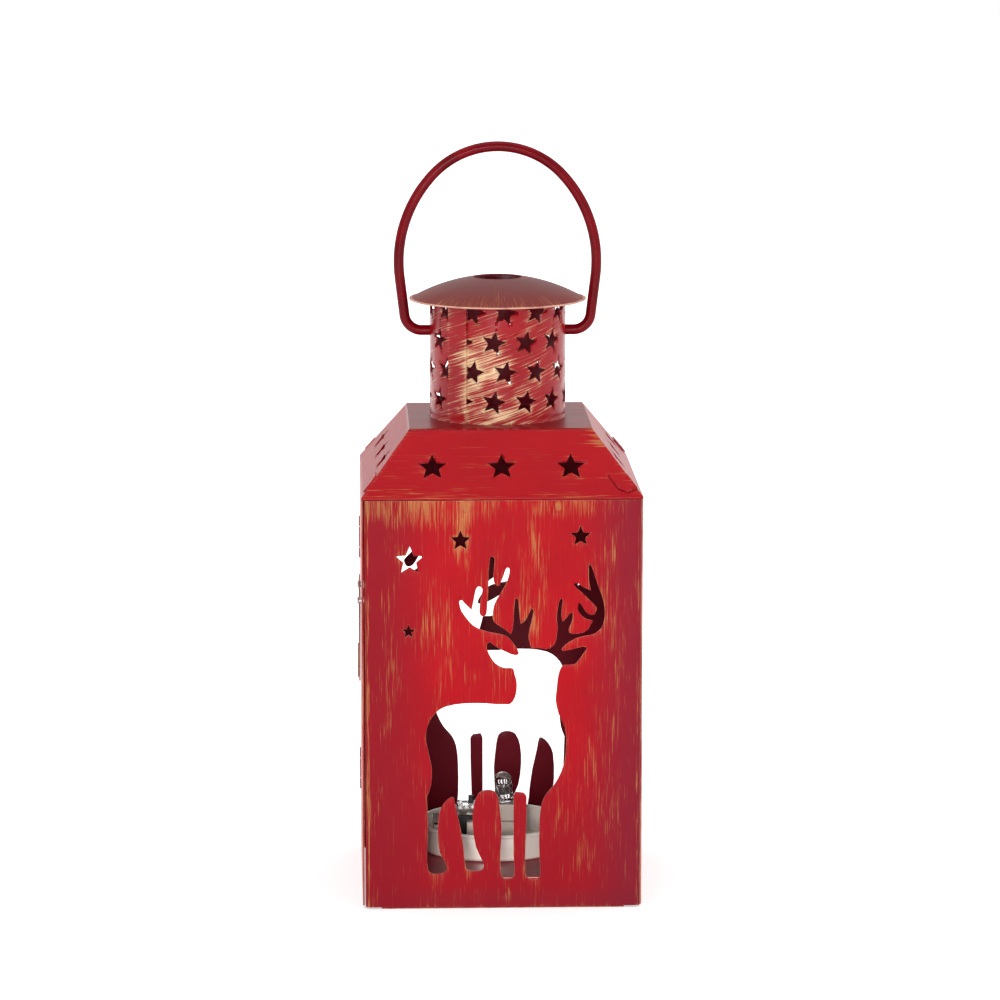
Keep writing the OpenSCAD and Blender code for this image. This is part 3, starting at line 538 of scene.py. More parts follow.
    def gold_spots_drawn(self, s: Sketch) -> list[tuple[Socket, float]]:
        """Draws the gold spots, among them the painted highlights on the walls.

        Args:
            s: the material.

        Returns:
            A share and a weight for each patch.
        """
        x, _, z = s.split(s.place())
        out = []
        for spot_of_gold in self.gold_spots:
            far = [s.math("POWER", s.total(-middle / half, (value, 1 / (half * MM))), 2.0)
                   for value, middle, half in ((x, spot_of_gold.x, spot_of_gold.wide), (z, spot_of_gold.z, spot_of_gold.high))]
            out.append((s.span(s.math("ADD", *far), 2.2, 0.0), spot_of_gold.gold_amount))
        return out

    def set_gloss(self, s: Sketch) -> None:
        """Sets the shine of the enamel, which is the same all over.

        Args:
            s: the material.
        """
        s.shader.inputs["Specular IOR Level"].default_value = self.shine
        s.shader.inputs["Coat Weight"].default_value = self.coat
        s.shader.inputs["Coat Roughness"].default_value = 0.12


@dataclass(frozen=True)
class GlossEnamel:
    """Smooth, glossy enamel on wire, with faint runs and dust in it."""

    name: str
    colour: Colour = (0.22, 0.002, 0.007)
    shade: Colour = (0.14, 0.001, 0.005)
    gloss: float = 0.22

    def build(self) -> bpy.types.Material:
        """Makes the material.

        Returns:
            The node material.
        """
        s = Sketch(self.name)
        runs = s.noise(s.place(), 120.0, 3.0)
        dust = s.noise(s.place(), 1800.0, 2.0)
        tone = s.mix(s.span(runs, 0.3, 0.7), self.shade, self.colour)
        normal = s.bump(dust, 0.015 * MM, 0.3, s.bump(runs, 0.2 * MM, 0.2))
        rough = s.math("ADD", self.gloss, s.math("MULTIPLY", dust, 0.08))
        s.shader.inputs["Specular IOR Level"].default_value = 0.07
        s.shader.inputs["Coat Weight"].default_value = 0.08
        s.shader.inputs["Coat Roughness"].default_value = 0.1
        return s.finish(Base_Color=tone, Roughness=rough, Normal=normal)


@dataclass(frozen=True)
class BareMetal:
    """Bare metal with fine brushing, stains and small dents."""

    name: str
    colour: Colour
    stain: Colour
    gloss: float = 0.15
    brushing: float = 300.0
    waves: float = 0.05
    metal: float = 1.0

    def build(self) -> bpy.types.Material:
        """Makes the material.

        Returns:
            The node material.
        """
        s = Sketch(self.name)
        lines = s.noise(s.place(), self.brushing, 3.0, 0.6)
        clouds = s.noise(s.place(), 140.0, 4.0)
        tone = s.mix(s.math("MULTIPLY", s.span(clouds, 0.5, 0.75), 0.5), self.colour, self.stain)
        normal = s.bump(lines, 0.02 * MM, 0.25, s.bump(clouds, 1.0 * MM, self.waves))
        rough = s.math("ADD", self.gloss, s.math("MULTIPLY", lines, 0.12))
        s.shader.inputs["Metallic"].default_value = self.metal
        return s.finish(Base_Color=tone, Roughness=rough, Normal=normal)


@dataclass(frozen=True)
class MouldedPlastic:
    """Moulded plastic with a fine matt grain and dust in its pores."""

    name: str
    colour: Colour
    dusty: Colour
    gloss: float = 0.42

    def build(self) -> bpy.types.Material:
        """Makes the material.

        Returns:
            The node material.
        """
        s = Sketch(self.name)
        grain = s.noise(s.place(), 2400.0, 2.0)
        clouds = s.noise(s.place(), 220.0, 4.0)
        tone = s.mix(s.math("MULTIPLY", s.span(clouds, 0.45, 0.8), 0.5), self.colour, self.dusty)
        rough = s.math("ADD", self.gloss, s.math("MULTIPLY", grain, 0.12))
        return s.finish(Base_Color=tone, Roughness=rough, Normal=s.bump(grain, 0.03 * MM, 0.4))


@dataclass(frozen=True)
class ClearResin:
    """Water-clear resin of a light capsule, with a faint swirl inside."""

    name: str = "clear_capsule_resin"

    def build(self) -> bpy.types.Material:
        """Makes the material.

        Returns:
            The node material.
        """
        s = Sketch(self.name)
        swirl = s.noise(s.place(), 500.0, 2.0)
        tone = s.mix(s.span(swirl, 0.3, 0.7), (0.93, 0.95, 0.96), (1.0, 1.0, 1.0))
        rough = s.span(swirl, 0.3, 0.7, 0.0, 0.02)
        s.shader.inputs["Transmission Weight"].default_value = 1.0
        s.shader.inputs["IOR"].default_value = 1.5
        return s.finish(Base_Color=tone, Roughness=rough, Normal=s.bump(swirl, 0.01 * MM, 0.05))


def take_node(name: str) -> bmesh.types.BMesh:
    """Copies a node's mesh and welds it.

    Args:
        name: the node.

    Returns:
        The copy, with flat areas joined into single faces.
    """
    bm = bmesh.new()
    bm.from_mesh(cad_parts[name].data)
    bmesh.ops.remove_doubles(bm, verts=bm.verts, dist=0.002 * MM)
    bmesh.ops.dissolve_limit(bm, angle_limit=math.radians(1), verts=bm.verts, edges=bm.edges)
    return bm


def soften(bm: bmesh.types.BMesh, width: float, segments: int = 2) -> None:
    """Rounds the sharp edges of a mesh, and marks the new faces in the layer "cut".

    Args:
        bm: the mesh.
        width: the width of the rounding.
        segments: the faces across the rounding.
    """
    cut = bm.faces.layers.int.new("cut")
    edges = [e for e in bm.edges if len(e.link_faces) == 2 and e.calc_face_angle(0) > SHARP]
    made = bmesh.ops.bevel(bm, geom=edges, offset=width, segments=segments, profile=0.5, affect="EDGES",
                           material=-1, clamp_overlap=True, loop_slide=True)
    for face in made["faces"]:
        face[cut] = 1


def slice_up(bm: bmesh.types.BMesh, axis: Vector, low: float, high: float, step: float) -> None:
    """Cuts a mesh by evenly spaced planes, so that it can bend and hold a pattern.

    Args:
        bm: the mesh.
        axis: the planes' normal.
        low: where the planes start.
        high: where they end.
        step: the distance between them.
    """
    at = low + step / 2
    while at < high:
        bmesh.ops.bisect_plane(bm, geom=bm.verts[:] + bm.edges[:] + bm.faces[:], dist=0.0005 * MM,
                               plane_co=axis * at, plane_no=axis)
        at += step


def finish_piece(bm: bmesh.types.BMesh, name: str, material: bpy.types.Material, body: str,
                 stands_for: Sequence[str] = (), smooth: float = 35.0) -> bpy.types.Object:
    """Turns a mesh into a piece of the lantern.

    Args:
        bm: the mesh, in metres at its place.
        name: the piece's name.
        material: its finish.
        body: the body that it rides on.
        stands_for: the nodes that it replaces.
        smooth: the angle up to which faces are shaded as one surface, in degrees.

    Returns:
        The new object.
    """
    mesh = bpy.data.meshes.new(name)
    bm.to_mesh(mesh)
    bm.free()
    mesh.materials.append(material)
    mesh.shade_smooth()
    mesh.set_sharp_from_angle(angle=math.radians(smooth))
    piece = bpy.data.objects.new(name, mesh)
    bpy.context.scene.collection.objects.link(piece)
    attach(piece, body)
    if stands_for:
        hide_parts(*stands_for)
    log.info("piece %s: %d faces, rides on %s", name, len(mesh.polygons), body)
    return piece


def revolve(points: Sequence[tuple[float, float]], steps: int,
            centre: Vector = Vector()) -> bmesh.types.BMesh:
    """Spins a profile of radius and height about a vertical axis.

    Args:
        points: the profile, in metres, from its first to its last point.
        steps: the faces in a turn.
        centre: a point of the axis.

    Returns:
        The turned mesh, closed where the profile meets the axis.
    """
    bm = bmesh.new()
    verts = [bm.verts.new(centre + Vector((r, 0, z))) for r, z in points]
    edges = [bm.edges.new(pair) for pair in zip(verts, verts[1:])]
    bmesh.ops.spin(bm, geom=verts + edges, cent=centre, axis=UP, angle=math.tau, steps=steps, use_merge=True)
    bmesh.ops.remove_doubles(bm, verts=bm.verts, dist=0.001 * MM)
    bmesh.ops.recalc_face_normals(bm, faces=bm.faces)
    if bm.calc_volume(signed=True) < 0:
        bmesh.ops.reverse_faces(bm, faces=bm.faces)
    return bm


def arc(centre: tuple[float, float], radius: float, start: float, end: float,
        steps: int) -> list[tuple[float, float]]:
    """Works out points along an arc of a profile.

    Args:
        centre: its centre.
        radius: its radius.
        start: the angle where it starts, in degrees.
        end: the angle where it ends, in degrees.
        steps: the stretches between its points.

    Returns:
        The points.
    """
    turns = [math.radians(start + (end - start) * i / steps) for i in range(steps + 1)]
    return [(centre[0] + radius * math.cos(a), centre[1] + radius * math.sin(a)) for a in turns]


class Finishes:
    """All materials of the lantern."""

    def __init__(self) -> None:
        """Makes each finish once."""
        # Painted shade: the walls and the base pan grow darker towards their foot; the front and back walls
        # also towards their left and right edges, and from the middle down.
        painted_foot_shade = AxisTint((0.20, 0.028, 0.042), 8.0, 2.0, 0.55)
        painted_wall_shades = (painted_foot_shade, AxisTint((0.26, 0.006, 0.016), -16.0, -36.0, 0.75, 0),
                  AxisTint((0.28, 0.006, 0.016), 66.0, 12.0, 0.6),
                  AxisTint((0.22, 0.012, 0.028), 20.0, 38.0, 0.75, 0))
        self.walls = DryBrushedEnamel("wall_enamel", amount=0.05, axis_tints=painted_wall_shades, gold_spots=(
            GoldSpot(-20, 115.5, 17, 4.5, 1.5), GoldSpot(-11.6, 106, 2.4, 10, 1.5), GoldSpot(-18.5, 79, 4.5, 15, 1.0),
            GoldSpot(8.5, 95, 4.5, 18, 0.9), GoldSpot(31, 80, 3.5, 28, 0.8), GoldSpot(27, 28, 7, 18, 0.7),
            # The thin lines at x -38.3 and 38.6 run down the bent corners: worn gold with a painted highlight
            # of the bends. The small spots at z 117 are painted highlights on the joining dents.
            GoldSpot(20, 116, 14, 2.5, 0.8), GoldSpot(-33, 60, 2.5, 30, 0.4), GoldSpot(-38.3, 60, 0.4, 75, 1.9),
            GoldSpot(38.6, 60, 0.35, 75, 1.3), GoldSpot(-10.2, 117, 0.8, 1.2, 1.7), GoldSpot(15.9, 117, 0.8, 1.2, 1.7),
            GoldSpot(1.8, 3.5, 0.8, 2.5, 1.7))).build()
        self.plain_walls = DryBrushedEnamel("side_wall_enamel", axis_tints=(painted_foot_shade,), amount=0.15).build()
        self.roof = DryBrushedEnamel(
            "roof_enamel", amount=-0.4, patch=(40.0, 260.0), stroke=(60.0, 2300.0), coat=0.05, halo=1.2,
            shine=0.14, red=(0.42, 0.004, 0.009), gold_spots=(GoldSpot(30, 134.5, 5, 3, 1.2), GoldSpot(-30, 121, 6, 2, 0.6)),
            axis_tints=(AxisTint((0.20, 0.004, 0.008), 136.4, 137.2, 0.85),)).build()
        self.tube = DryBrushedEnamel(
            "chimney_enamel", amount=-0.1, halo=1.2, red=(0.40, 0.004, 0.011), deep=(0.22, 0.003, 0.008),
            gold=(0.88, 0.62, 0.36), patch=(70.0, 190.0), stroke=(60.0, 2300.0), lean=math.radians(-18),
            gloss=0.24, shine=0.22, coat=0.06, opacity=0.95, dents=0.35, gold_spots=(
                GoldSpot(-4.5, 158, 7, 6, 1.6), GoldSpot(-3.5, 139.6, 7, 2.6, 1.8), GoldSpot(3, 147, 12, 9, 0.8),
                GoldSpot(-10, 150, 4.5, 7, 0.9), GoldSpot(12, 166, 5, 4, 0.5))).build()
        self.cap = DryBrushedEnamel(
            "cap_enamel", amount=-0.25, halo=1.3, patch=(40.0, 170.0), stroke=(80.0, 2100.0), gloss=0.42,
            shine=0.13, gold_spots=(GoldSpot(1, 171.4, 20, 2.8, 0.65),), axis_tints=(
                AxisTint((0.17, 0.030, 0.024), 171.3, 171.9, 0.9),
                AxisTint((0.17, 0.038, 0.036), 173.0, 176.0, 0.9))).build()
        self.pan = DryBrushedEnamel("pan_enamel", amount=-0.6, axis_tints=(painted_foot_shade,)).build()
        # Painted shade: the latch, the same enamel as the walls, takes a near-black red.
        self.latch = DryBrushedEnamel("latch_painted_shade_enamel", red=(0.10, 0.004, 0.009), deep=(0.06, 0.003, 0.006),
                                      amount=-0.5).build()
        self.bail = GlossEnamel("bail_wire_enamel").build()
        self.tin = BareMetal("cup_tin", (0.96, 0.92, 0.86), (0.90, 0.84, 0.78), 0.28, waves=0.04,
                             metal=0.35).build()
        self.steel = BareMetal("pin_steel", (0.56, 0.54, 0.52), (0.32, 0.28, 0.25), 0.3).build()
        self.chrome = BareMetal("switch_chrome", (0.8, 0.8, 0.8), (0.55, 0.52, 0.5), 0.12).build()
        self.brass = BareMetal("contact_brass", (0.8, 0.6, 0.28), (0.5, 0.34, 0.16), 0.2).build()
        self.cells = BareMetal("cell_steel", (0.72, 0.72, 0.72), (0.5, 0.5, 0.5), 0.18).build()
        self.housing = MouldedPlastic("housing_plastic", (0.42, 0.35, 0.32), (0.52, 0.45, 0.41)).build()
        self.black = MouldedPlastic("black_plastic", (0.012, 0.012, 0.013), (0.03, 0.028, 0.026),
                                    0.35).build()
        self.board = MouldedPlastic("board_lacquer", (0.03, 0.13, 0.07), (0.05, 0.17, 0.1), 0.25).build()
        self.resin = ClearResin().build()


@dataclass
class Sheet:
    """A painted sheet piece in its CAD shape, with softened edges, a slight wave and brush strokes."""

    node: str
    material: bpy.types.Material
    brush: Brush = Brush.DOWN
    body: str = "lantern"
    slot: str = "red_enamel"
    grid: float = 2.2 * MM
    planes: tuple[Vector, ...] = (RIGHT, UP)
    edge: float = 0.2 * MM
    wave: float = 0.07 * MM
    wear: Wear = Wear()

    def build(self) -> bpy.types.Object:
        """Makes the piece from the node, with its two UV maps.

        Returns:
            The piece.
        """
        bm = take_node(self.node)
        low, high = (Vector(corner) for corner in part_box(self.node))
        edges = edge_samples(bm, self.brush, 0.4 * MM)
        soften(bm, self.edge)
        for axis in self.planes:
            slice_up(bm, axis, axis.dot(low), axis.dot(high), self.grid)
        self.wave_panel(bm, low, high)
        bmesh.ops.triangulate(bm, faces=bm.faces)
        piece = finish_piece(bm, self.node + "_sheet", self.material, self.body, (self.node,))
        lay_strokes(piece.data, self.brush, edges, self.wear)
        return piece

    def wave_panel(self, bm: bmesh.types.BMesh, low: Vector, high: Vector) -> None:
        """Bends the sheet inwards by small amounts, as thin tin never lies quite flat.

        Args:
            bm: the mesh.
            low: the node's lowest corner.
            high: its highest corner.
        """
        middle, half = (low + high) / 2, (high - low) / 2
        axis = min(range(3), key=lambda i: half[i])
        deepest_panel = 10 * MM
        if self.brush is not Brush.DOWN or 2 * half[axis] > deepest_panel:
            return
        # Each panel ripples in its own way
        shift = half[0] * 900
        others = [i for i in range(3) if i != axis]
        inward = Vector([-math.copysign(1, middle[i]) if i == axis else 0 for i in range(3)])
        for v in bm.verts:
            across, up = ((v.co[i] - middle[i]) / half[i] for i in others)
            fade = max(0.0, 1 - across ** 4) * max(0.0, 1 - up ** 4)
            slow, quick = math.sin(2.3 * across + 1.7 * up + shift), math.sin(4.1 * up - across)
            v.co += inward * (self.wave * fade * (0.6 + 0.25 * slow + 0.15 * quick))


@dataclass
class Body:
    """Walls, door, base pan and roof."""

    finishes: Finishes

    def build(self) -> None:
        """Makes the sheets of the body."""
        side = (BACK, UP)
        Sheet("front_wall", self.finishes.walls).build()
        Sheet("back_wall", self.finishes.walls).build()
        Sheet("right_wall", self.finishes.plain_walls, planes=side, grid=2.5 * MM).build()
        Sheet("side_door", self.finishes.plain_walls, planes=side, grid=2.5 * MM, body="door").build()
        Sheet("base_pan", self.finishes.pan, planes=(RIGHT, BACK), grid=4 * MM).build()
        Sheet("roof", self.finishes.roof, brush=Brush.ALONG, wear=Wear(0.5 * MM, 0.6 * MM, 2.4 * MM),
              planes=(RIGHT, BACK, UP), grid=1.4 * MM).build()
        Sheet("door_latch", self.finishes.latch, planes=side, body="latch", grid=1.2 * MM).build()


@dataclass
class Chimney:
    """The pierced tube and the cap."""

    finishes: Finishes
    ball_radius: float = 50.31 * MM
    rim_radius: float = 25.6 * MM
    hole_radius: float = 7.0 * MM
    sheet: float = 0.48 * MM
    bead: float = 0.22 * MM
    roll: float = 0.24 * MM
    cut_band: float = 0.5 * MM
    rings: int = 30
    steps: int = 128

    def build(self) -> None:
        """Makes the tube and the cap."""
        Sheet("chimney_tube", self.finishes.tube, brush=Brush.ROUND, wear=Wear(0.6 * MM, 0.4 * MM, 1.0 * MM),
              planes=(UP,), grid=1.5 * MM, edge=0.12 * MM).build()
        self.cap()

    def cap(self) -> None:
        """Makes the cap as a turned shell with a rounded rim and a rolled hole."""
        low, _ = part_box("cap")
        rim_z = low[2]
        ball_z = rim_z - math.sqrt(self.ball_radius ** 2 - self.rim_radius ** 2)
        inner_ball = self.ball_radius - self.sheet
        last = self.rim_radius - 0.12 * MM
        radii = [self.hole_radius + (last - self.hole_radius) * i / self.rings for i in range(self.rings + 1)]
        outer = [(r, self.dome(ball_z, self.ball_radius, r)) for r in radii]
        bead = arc((self.rim_radius - self.bead, rim_z + 0.25 * MM), self.bead, 35, -125, 8)
        inner = [(r, self.dome(ball_z, inner_ball, r)) for r in reversed(radii[:-1])]
        hole_z = self.dome(ball_z, self.ball_radius, self.hole_radius)
        roll = arc((self.hole_radius + 0.2 * MM, hole_z - self.roll), self.roll, 260, 100, 8)
        profile = outer + bead + inner + roll
        bm = revolve(profile + profile[:1], self.steps)
        cut = bm.faces.layers.int.new("cut")
        for face in bm.faces:
            if face.calc_center_median().xy.length > self.rim_radius - self.cut_band:
                face[cut] = 1
        bmesh.ops.triangulate(bm, faces=bm.faces)
        piece = finish_piece(bm, "cap_shell", self.finishes.cap, "lantern", ("cap",), 50)
        count = 400
        rim = [(self.rim_radius, (i / count - 0.5) * math.tau * CAP_SPREAD, 0) for i in range(count)]
        lay_strokes(piece.data, Brush.RADIAL, np.array(rim), Wear(1 * MM, 0.6 * MM, 3.5 * MM))

    def dome(self, ball_z: float, ball: float, r: float) -> float:
        """Works out the height of a ball's surface.

        Args:
            ball_z: the height of the ball's middle.
            ball: its radius.
            r: the distance from the cap's axis.

        Returns:
            The height.
        """
        return ball_z + math.sqrt(ball ** 2 - r ** 2)


@dataclass
class Bail:
    """The bent wire handle, drawn from its right end over the top to its left end."""

    finishes: Finishes
    wire: float = 1.5 * MM
    start: float = 15.2 * MM
    pivot: float = 162.3 * MM
    foot_radius: float = 5.0 * MM
    side_radius: float = 37.0 * MM
    top_radius: float = 25.514 * MM
    lean: float = 7.0
    side_sweep: float = 50.0
    top_sweep: float = 94.0
    top: float = 215.5 * MM
    segments: int = 28
    foot_steps: int = 14
    side_steps: int = 20
    top_steps: int = 36
    place: Vector = field(init=False)
    heading: float = field(init=False)
    ring: list[bmesh.types.BMEdge] = field(init=False)

    def legs(self) -> tuple[float, float]:
        """Works out the straight legs.

        Returns:
            Where the bend into the tube starts, from the middle, and the length of a leg.
        """
        sweep, lean = math.radians(self.top_sweep / 2), math.radians(self.lean)
        across = (self.top_radius - self.side_radius) * math.sin(sweep)
        height = self.top - self.top_radius + (self.top_radius - self.side_radius) * math.cos(sweep)
        leg_top = (across + self.side_radius * math.cos(lean), height - self.side_radius * math.sin(lean))
        foot_z = self.pivot + self.foot_radius * (1 - math.sin(lean))
        leg = (leg_top[1] - foot_z) / math.cos(lean)
        return leg_top[0] - leg * math.sin(lean) - self.foot_radius * math.cos(lean), leg

    def build(self) -> None:
        """Makes the wire by bending a circle through each stretch."""
        foot_x, leg = self.legs()
        bm = bmesh.new()
        self.place = Vector((self.start, 0, self.pivot))
        self.heading = 0.0
        turn = Matrix.Translation(self.place) @ Matrix.Rotation(math.pi / 2, 4, "Y")
        made = bmesh.ops.create_circle(bm, segments=self.segments, radius=self.wire, matrix=turn,
                                       cap_ends=False)
        self.ring = list(dict.fromkeys(e for v in made["verts"] for e in v.link_edges))
        self.cap_end(bm)
        foot = 90.0 - self.lean
        self.straight(bm, foot_x - self.start)
        self.bend(bm, self.foot_radius, foot, self.foot_steps)
        self.straight(bm, leg)
        self.bend(bm, self.side_radius, self.side_sweep, self.side_steps)
        self.bend(bm, self.top_radius, self.top_sweep, self.top_steps)
        self.bend(bm, self.side_radius, self.side_sweep, self.side_steps)
        self.straight(bm, leg)
        self.bend(bm, self.foot_radius, foot, self.foot_steps)
        self.straight(bm, foot_x - self.start)
        self.cap_end(bm)
        bmesh.ops.remove_doubles(bm, verts=bm.verts, dist=0.001 * MM)
        bmesh.ops.recalc_face_normals(bm, faces=bm.faces)
        log.info("bail ends %.2f mm from its start's mirror", (self.place.x + self.start) / MM)
        finish_piece(bm, "bail_wire", self.finishes.bail, "bail", ("bail_handle",), 60)

    def cap_end(self, bm: bmesh.types.BMesh) -> None:
        """Closes the wire's end."""
        bmesh.ops.holes_fill(bm, edges=self.ring, sides=0)

    def way(self) -> Vector:
        """Direction in which the wire runs here."""
        a = math.radians(self.heading)
        return Vector((math.cos(a), 0, math.sin(a)))

    def straight(self, bm: bmesh.types.BMesh, length: float) -> None:
        """Adds a straight stretch.

        Args:
            bm: the wire so far.
            length: the stretch's length.
        """
        made = bmesh.ops.extrude_edge_only(bm, edges=self.ring)["geom"]
        verts = [g for g in made if isinstance(g, bmesh.types.BMVert)]
        bmesh.ops.translate(bm, verts=verts, vec=self.way() * length)
        edges = [g for g in made if isinstance(g, bmesh.types.BMEdge)]
        self.ring = [e for e in edges if all(v in verts for v in e.verts)]
        self.place += self.way() * length

    def bend(self, bm: bmesh.types.BMesh, radius: float, angle: float, steps: int) -> None:
        """Adds a bend to the left, in the wire's plane.

        Args:
            bm: the wire so far.
            radius: the bend's radius.
            angle: its turn, in degrees.
            steps: the stretches that it is made of.
        """
        way = self.way()
        centre = self.place + Vector((-way.z, 0, way.x)) * radius
        ring_verts = list(dict.fromkeys(v for e in self.ring for v in e.verts))
        made = bmesh.ops.spin(bm, geom=self.ring + ring_verts, cent=centre, axis=(0, -1, 0),
                              angle=math.radians(angle), steps=steps)["geom_last"]
        self.ring = [g for g in made if isinstance(g, bmesh.types.BMEdge)]
        self.place = centre + Matrix.Rotation(math.radians(angle), 3, (0, -1, 0)) @ (self.place - centre)
        self.heading += angle


@dataclass
class Fastenings:
    """Hinge pins, rivets and the latch stud, with their turned heads."""

    finishes: Finishes
    edge: float = 0.14 * MM

    def build(self) -> None:
        """Makes each fastening from its node, with softened heads."""
        for node, body in (("hinge_pins", "lantern"), ("latch_rivet", "door"), ("latch_stud", "lantern"),
                           ("cup_rivets", "lantern")):
            bm = take_node(node)
            soften(bm, self.edge, 3)
            bmesh.ops.triangulate(bm, faces=bm.faces)
            finish_piece(bm, node + "_turned", self.finishes.steel, body, (node,), 40)


@dataclass
class LightCup:
    """The bright tin cup on the floor, with its rolled rim."""

    finishes: Finishes
    x: float = -1.5 * MM
    floor: float = 9.0 * MM
    radius: float = 21.5 * MM
    height: float = 8.0 * MM
    sheet: float = 0.4 * MM
    bead: float = 0.6 * MM
    corner: float = 0.9 * MM
    steps: int = 160

    def build(self) -> None:
        """Makes the cup as a turned shell."""
        r, z, t, c = self.radius, self.floor, self.sheet, self.corner
        top = z + self.height - self.bead
        outside = [(0, z)] + arc((r - c, z + c), c, -90, 0, 8)
        bead = arc((r, top), self.bead, -60, 160, 14)
        inside = arc((r - c, z + c), c - t, 0, -90, 8) + [(0, z + t)]
        bm = revolve(outside + bead + inside, self.steps, Vector((self.x, 0, 0)))
        self.dent(bm, top)
        bmesh.ops.triangulate(bm, faces=bm.faces)
        finish_piece(bm, "cup_shell", self.finishes.tin, "lantern", ("light_cup",), 40)

    def dent(self, bm: bmesh.types.BMesh, top: float) -> None:
        """Presses shallow dents into the cup's wall, always inwards.

        Args:
            bm: the cup.
            top: the height up to which the wall is dented.
        """
        wide, narrow = 0.05 * MM, 0.03 * MM
        for v in bm.verts:
            away = v.co - Vector((self.x, 0, v.co.z))
            if away.length > self.radius - 2 * MM and v.co.z < top:
                angle = math.atan2(away.y, away.x)
                depth = wide * (math.sin(5 * angle + 1) - 1) + narrow * (math.sin(9 * angle) - 1)
                v.co += away.normalized() * depth


@dataclass
class BatteryLight:
    """The small battery light in the cup."""

    finishes: Finishes
    edge: float = 0.12 * MM

    def build(self) -> None:
        """Makes the moulded pieces, the metal ones and the clear capsule."""
        moulded = (("circuit_board", self.finishes.board, "board_green"),
                   ("battery_box", self.finishes.housing, "light_plastic"),
                   ("battery_lid", self.finishes.housing, "light_plastic"),
                   ("light_holder", self.finishes.housing, "light_plastic"),
                   ("switch_base", self.finishes.black, "black_plastic"),
                   ("switch_frame", self.finishes.chrome, "switch_metal"),
                   ("button_cells", self.finishes.cells, "cell_steel"),
                   ("battery_contacts", self.finishes.brass, "gold_contact"),
                   ("led_leads", self.finishes.cells, "cell_steel"))
        for node, material, slot in moulded:
            self.softened(node, material, "lantern")
        self.softened("switch_slider", self.finishes.black, "switch")
        self.capsule()

    def softened(self, node: str, material: bpy.types.Material, body: str) -> None:
        """Makes a piece from its node with rounded edges.

        Args:
            node: the node.
            material: the piece's finish.
            body: the body that it rides on.
        """
        bm = take_node(node)
        soften(bm, self.edge)
        bmesh.ops.triangulate(bm, faces=bm.faces)
        finish_piece(bm, node + "_made", material, body, (node,), 40)

    def capsule(self) -> None:
        """Makes the clear capsule from its node."""
        bm = take_node("led_capsule")
        bmesh.ops.triangulate(bm, faces=bm.faces)
        finish_piece(bm, "led_capsule_clear", self.finishes.resin, "lantern",
                     ("led_capsule",), 50)


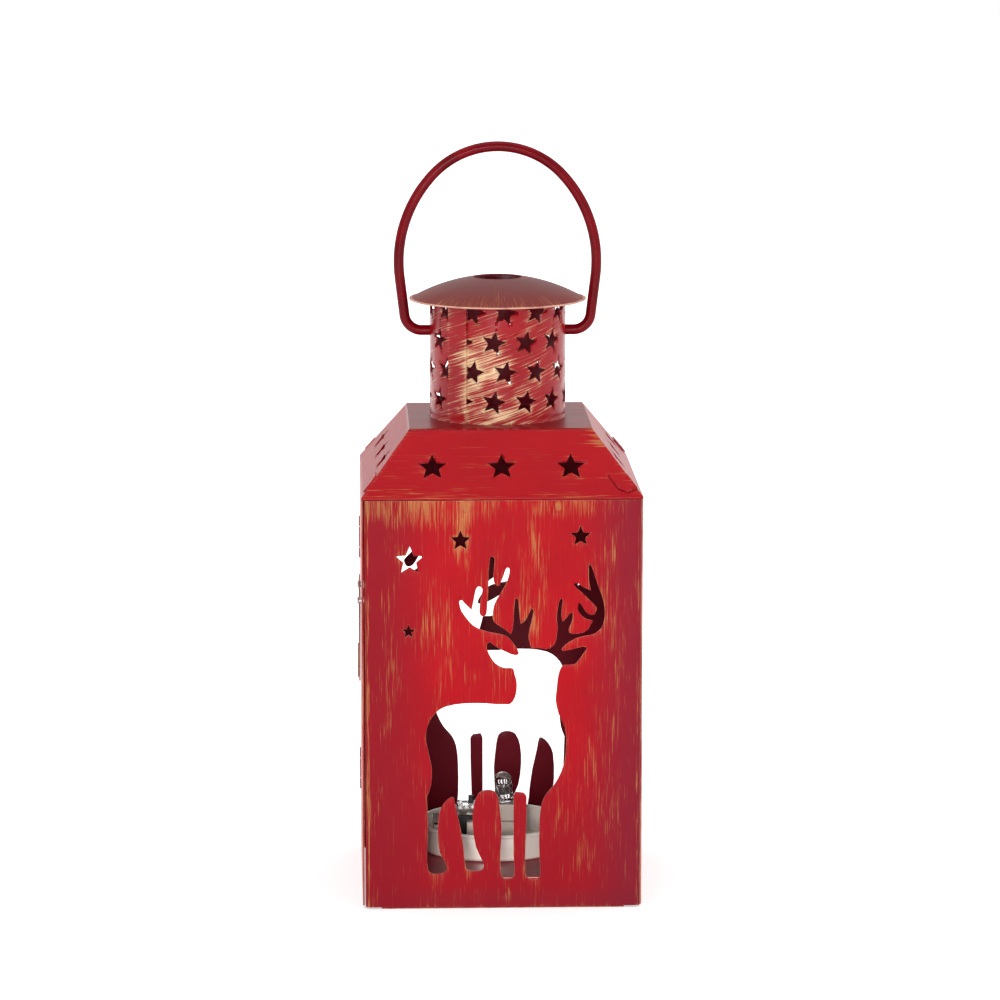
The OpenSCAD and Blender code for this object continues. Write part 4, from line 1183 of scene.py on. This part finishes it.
@dataclass
class Studio:
    """Floor, lamps, world and camera."""

    camera_at: Vector = Vector((-47.3, -1351.4, 335.5)) * MM
    heading: Vector = Vector((0.0355, 0.9994, 0.0))
    pitch: float = 9.375
    lens: float = 169.2
    middle: Vector = Vector((0, 0, 0.1))

    def build(self) -> None:
        """Makes all of the studio."""
        self.camera()
        self.floor()
        self.world()
        self.lamp("key", (-0.9, -1.45, 0.8), (1.0, 0.8), 3.8)
        self.lamp("front", (-0.12, -1.7, 0.32), (0.5, 0.3), 6.8)
        self.lamp("fill", (1.3, -1.0, 0.7), (0.9, 1.1), 4.0)
        self.lamp("top", (0.0, 0.1, 1.5), (1.4, 1.4), 4.5)

    def light_inside(self, pieces: Sequence[bpy.types.Object]) -> None:
        """Adds a warm lamp in front that lights some pieces alone.

        Args:
            pieces: what the lamp lights.
        """
        lit = bpy.data.collections.new("lit_inside")
        for piece in pieces:
            lit.objects.link(piece)
        lamp = self.lamp("inside", (-0.35, -1.6, 0.3), (0.6, 0.4), 38.0)
        lamp.data.color = (1.0, 0.93, 0.86)
        lamp.light_linking.receiver_collection = lit

    def camera(self) -> None:
        """Sets the camera at the photograph's viewing angle."""
        data = bpy.data.cameras.new("camera")
        data.lens, data.sensor_width = self.lens, 36.0
        data.clip_start, data.clip_end = 0.05, 20
        camera = bpy.data.objects.new("camera", data)
        bpy.context.scene.collection.objects.link(camera)
        down = math.radians(self.pitch)
        way = self.heading.normalized() * math.cos(down) - UP * math.sin(down)
        camera.location = self.camera_at
        camera.rotation_mode = "QUATERNION"
        camera.rotation_quaternion = way.to_track_quat("-Z", "Y")
        bpy.context.scene.camera = camera

    def floor(self) -> None:
        """Makes the pale floor, which looks white away from the object and keeps its shadow."""
        bm = bmesh.new()
        bmesh.ops.create_grid(bm, x_segments=2, y_segments=2, size=4.0)
        mesh = bpy.data.meshes.new("floor")
        bm.to_mesh(mesh)
        bm.free()
        s = Sketch("floor_paper")
        fibres = s.noise(s.place(), 40.0, 3.0)
        s.finish(Base_Color=s.mix(fibres, (0.8, 0.8, 0.8), (0.84, 0.84, 0.84)), Roughness=0.9)
        away = s.add("ShaderNodeVectorMath", s.place(), operation="LENGTH")
        glow = s.span(away.outputs["Value"], 0.07, 0.24, 0.5, 1.0)
        looked_at = s.seen("Camera", "Glossy", "Transmission")
        s.shader.inputs["Emission Color"].default_value = (1, 1, 1, 1)
        s.feed(s.shader.inputs["Emission Strength"], s.times(looked_at, glow))
        mesh.materials.append(s.material)
        floor = bpy.data.objects.new("floor", mesh)
        bpy.context.scene.collection.objects.link(floor)

    def world(self) -> None:
        """Makes the surroundings, which look white but light the object less.

        Their reflections are dimmer in front of the lantern than behind it.
        """
        world = bpy.data.worlds.new("studio")
        world.use_nodes = True
        bpy.context.scene.world = world
        w = Nodes(world.node_tree)
        ahead = w.split(w.add("ShaderNodeTexCoord").outputs["Generated"])[1]
        white, glossy = w.seen("Camera", "Transmission"), w.seen("Glossy")
        behind = w.times(glossy, w.span(ahead, -0.7, 0.1))
        light = 0.66
        strength = w.total(light, (white, 1 - light), (glossy, -0.28), (behind, 0.55))
        background = w.tree.nodes["Background"]
        background.inputs["Color"].default_value = (1, 1, 1, 1)
        w.feed(background.inputs["Strength"], strength)

    def lamp(self, name: str, at: Sequence[float], size: tuple[float, float],
             power: float) -> bpy.types.Object:
        """Adds a soft lamp that looks at the middle of the lantern.

        Args:
            name: its name.
            at: its place.
            size: its width and height.
            power: its power, in watts.

        Returns:
            The lamp.
        """
        data = bpy.data.lights.new(name, "AREA")
        data.shape = "RECTANGLE"
        data.size, data.size_y = size
        data.energy = power
        lamp = bpy.data.objects.new(name, data)
        bpy.context.scene.collection.objects.link(lamp)
        lamp.location = at
        lamp.rotation_mode = "QUATERNION"
        lamp.rotation_quaternion = (self.middle - Vector(at)).to_track_quat("-Z", "Y")
        return lamp


def main() -> None:
    """Builds the lantern and its studio."""
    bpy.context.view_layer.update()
    bpy.context.scene.view_settings.view_transform = "Standard"
    studio = Studio()
    studio.build()
    finishes = Finishes()
    for part in (Body, Chimney, Bail, Fastenings, LightCup, BatteryLight):
        log.info("making %s", part.__name__)
        part(finishes).build()
    studio.light_inside([bpy.data.objects[name] for name in INSIDE])


if __name__ == "__main__":
    main()
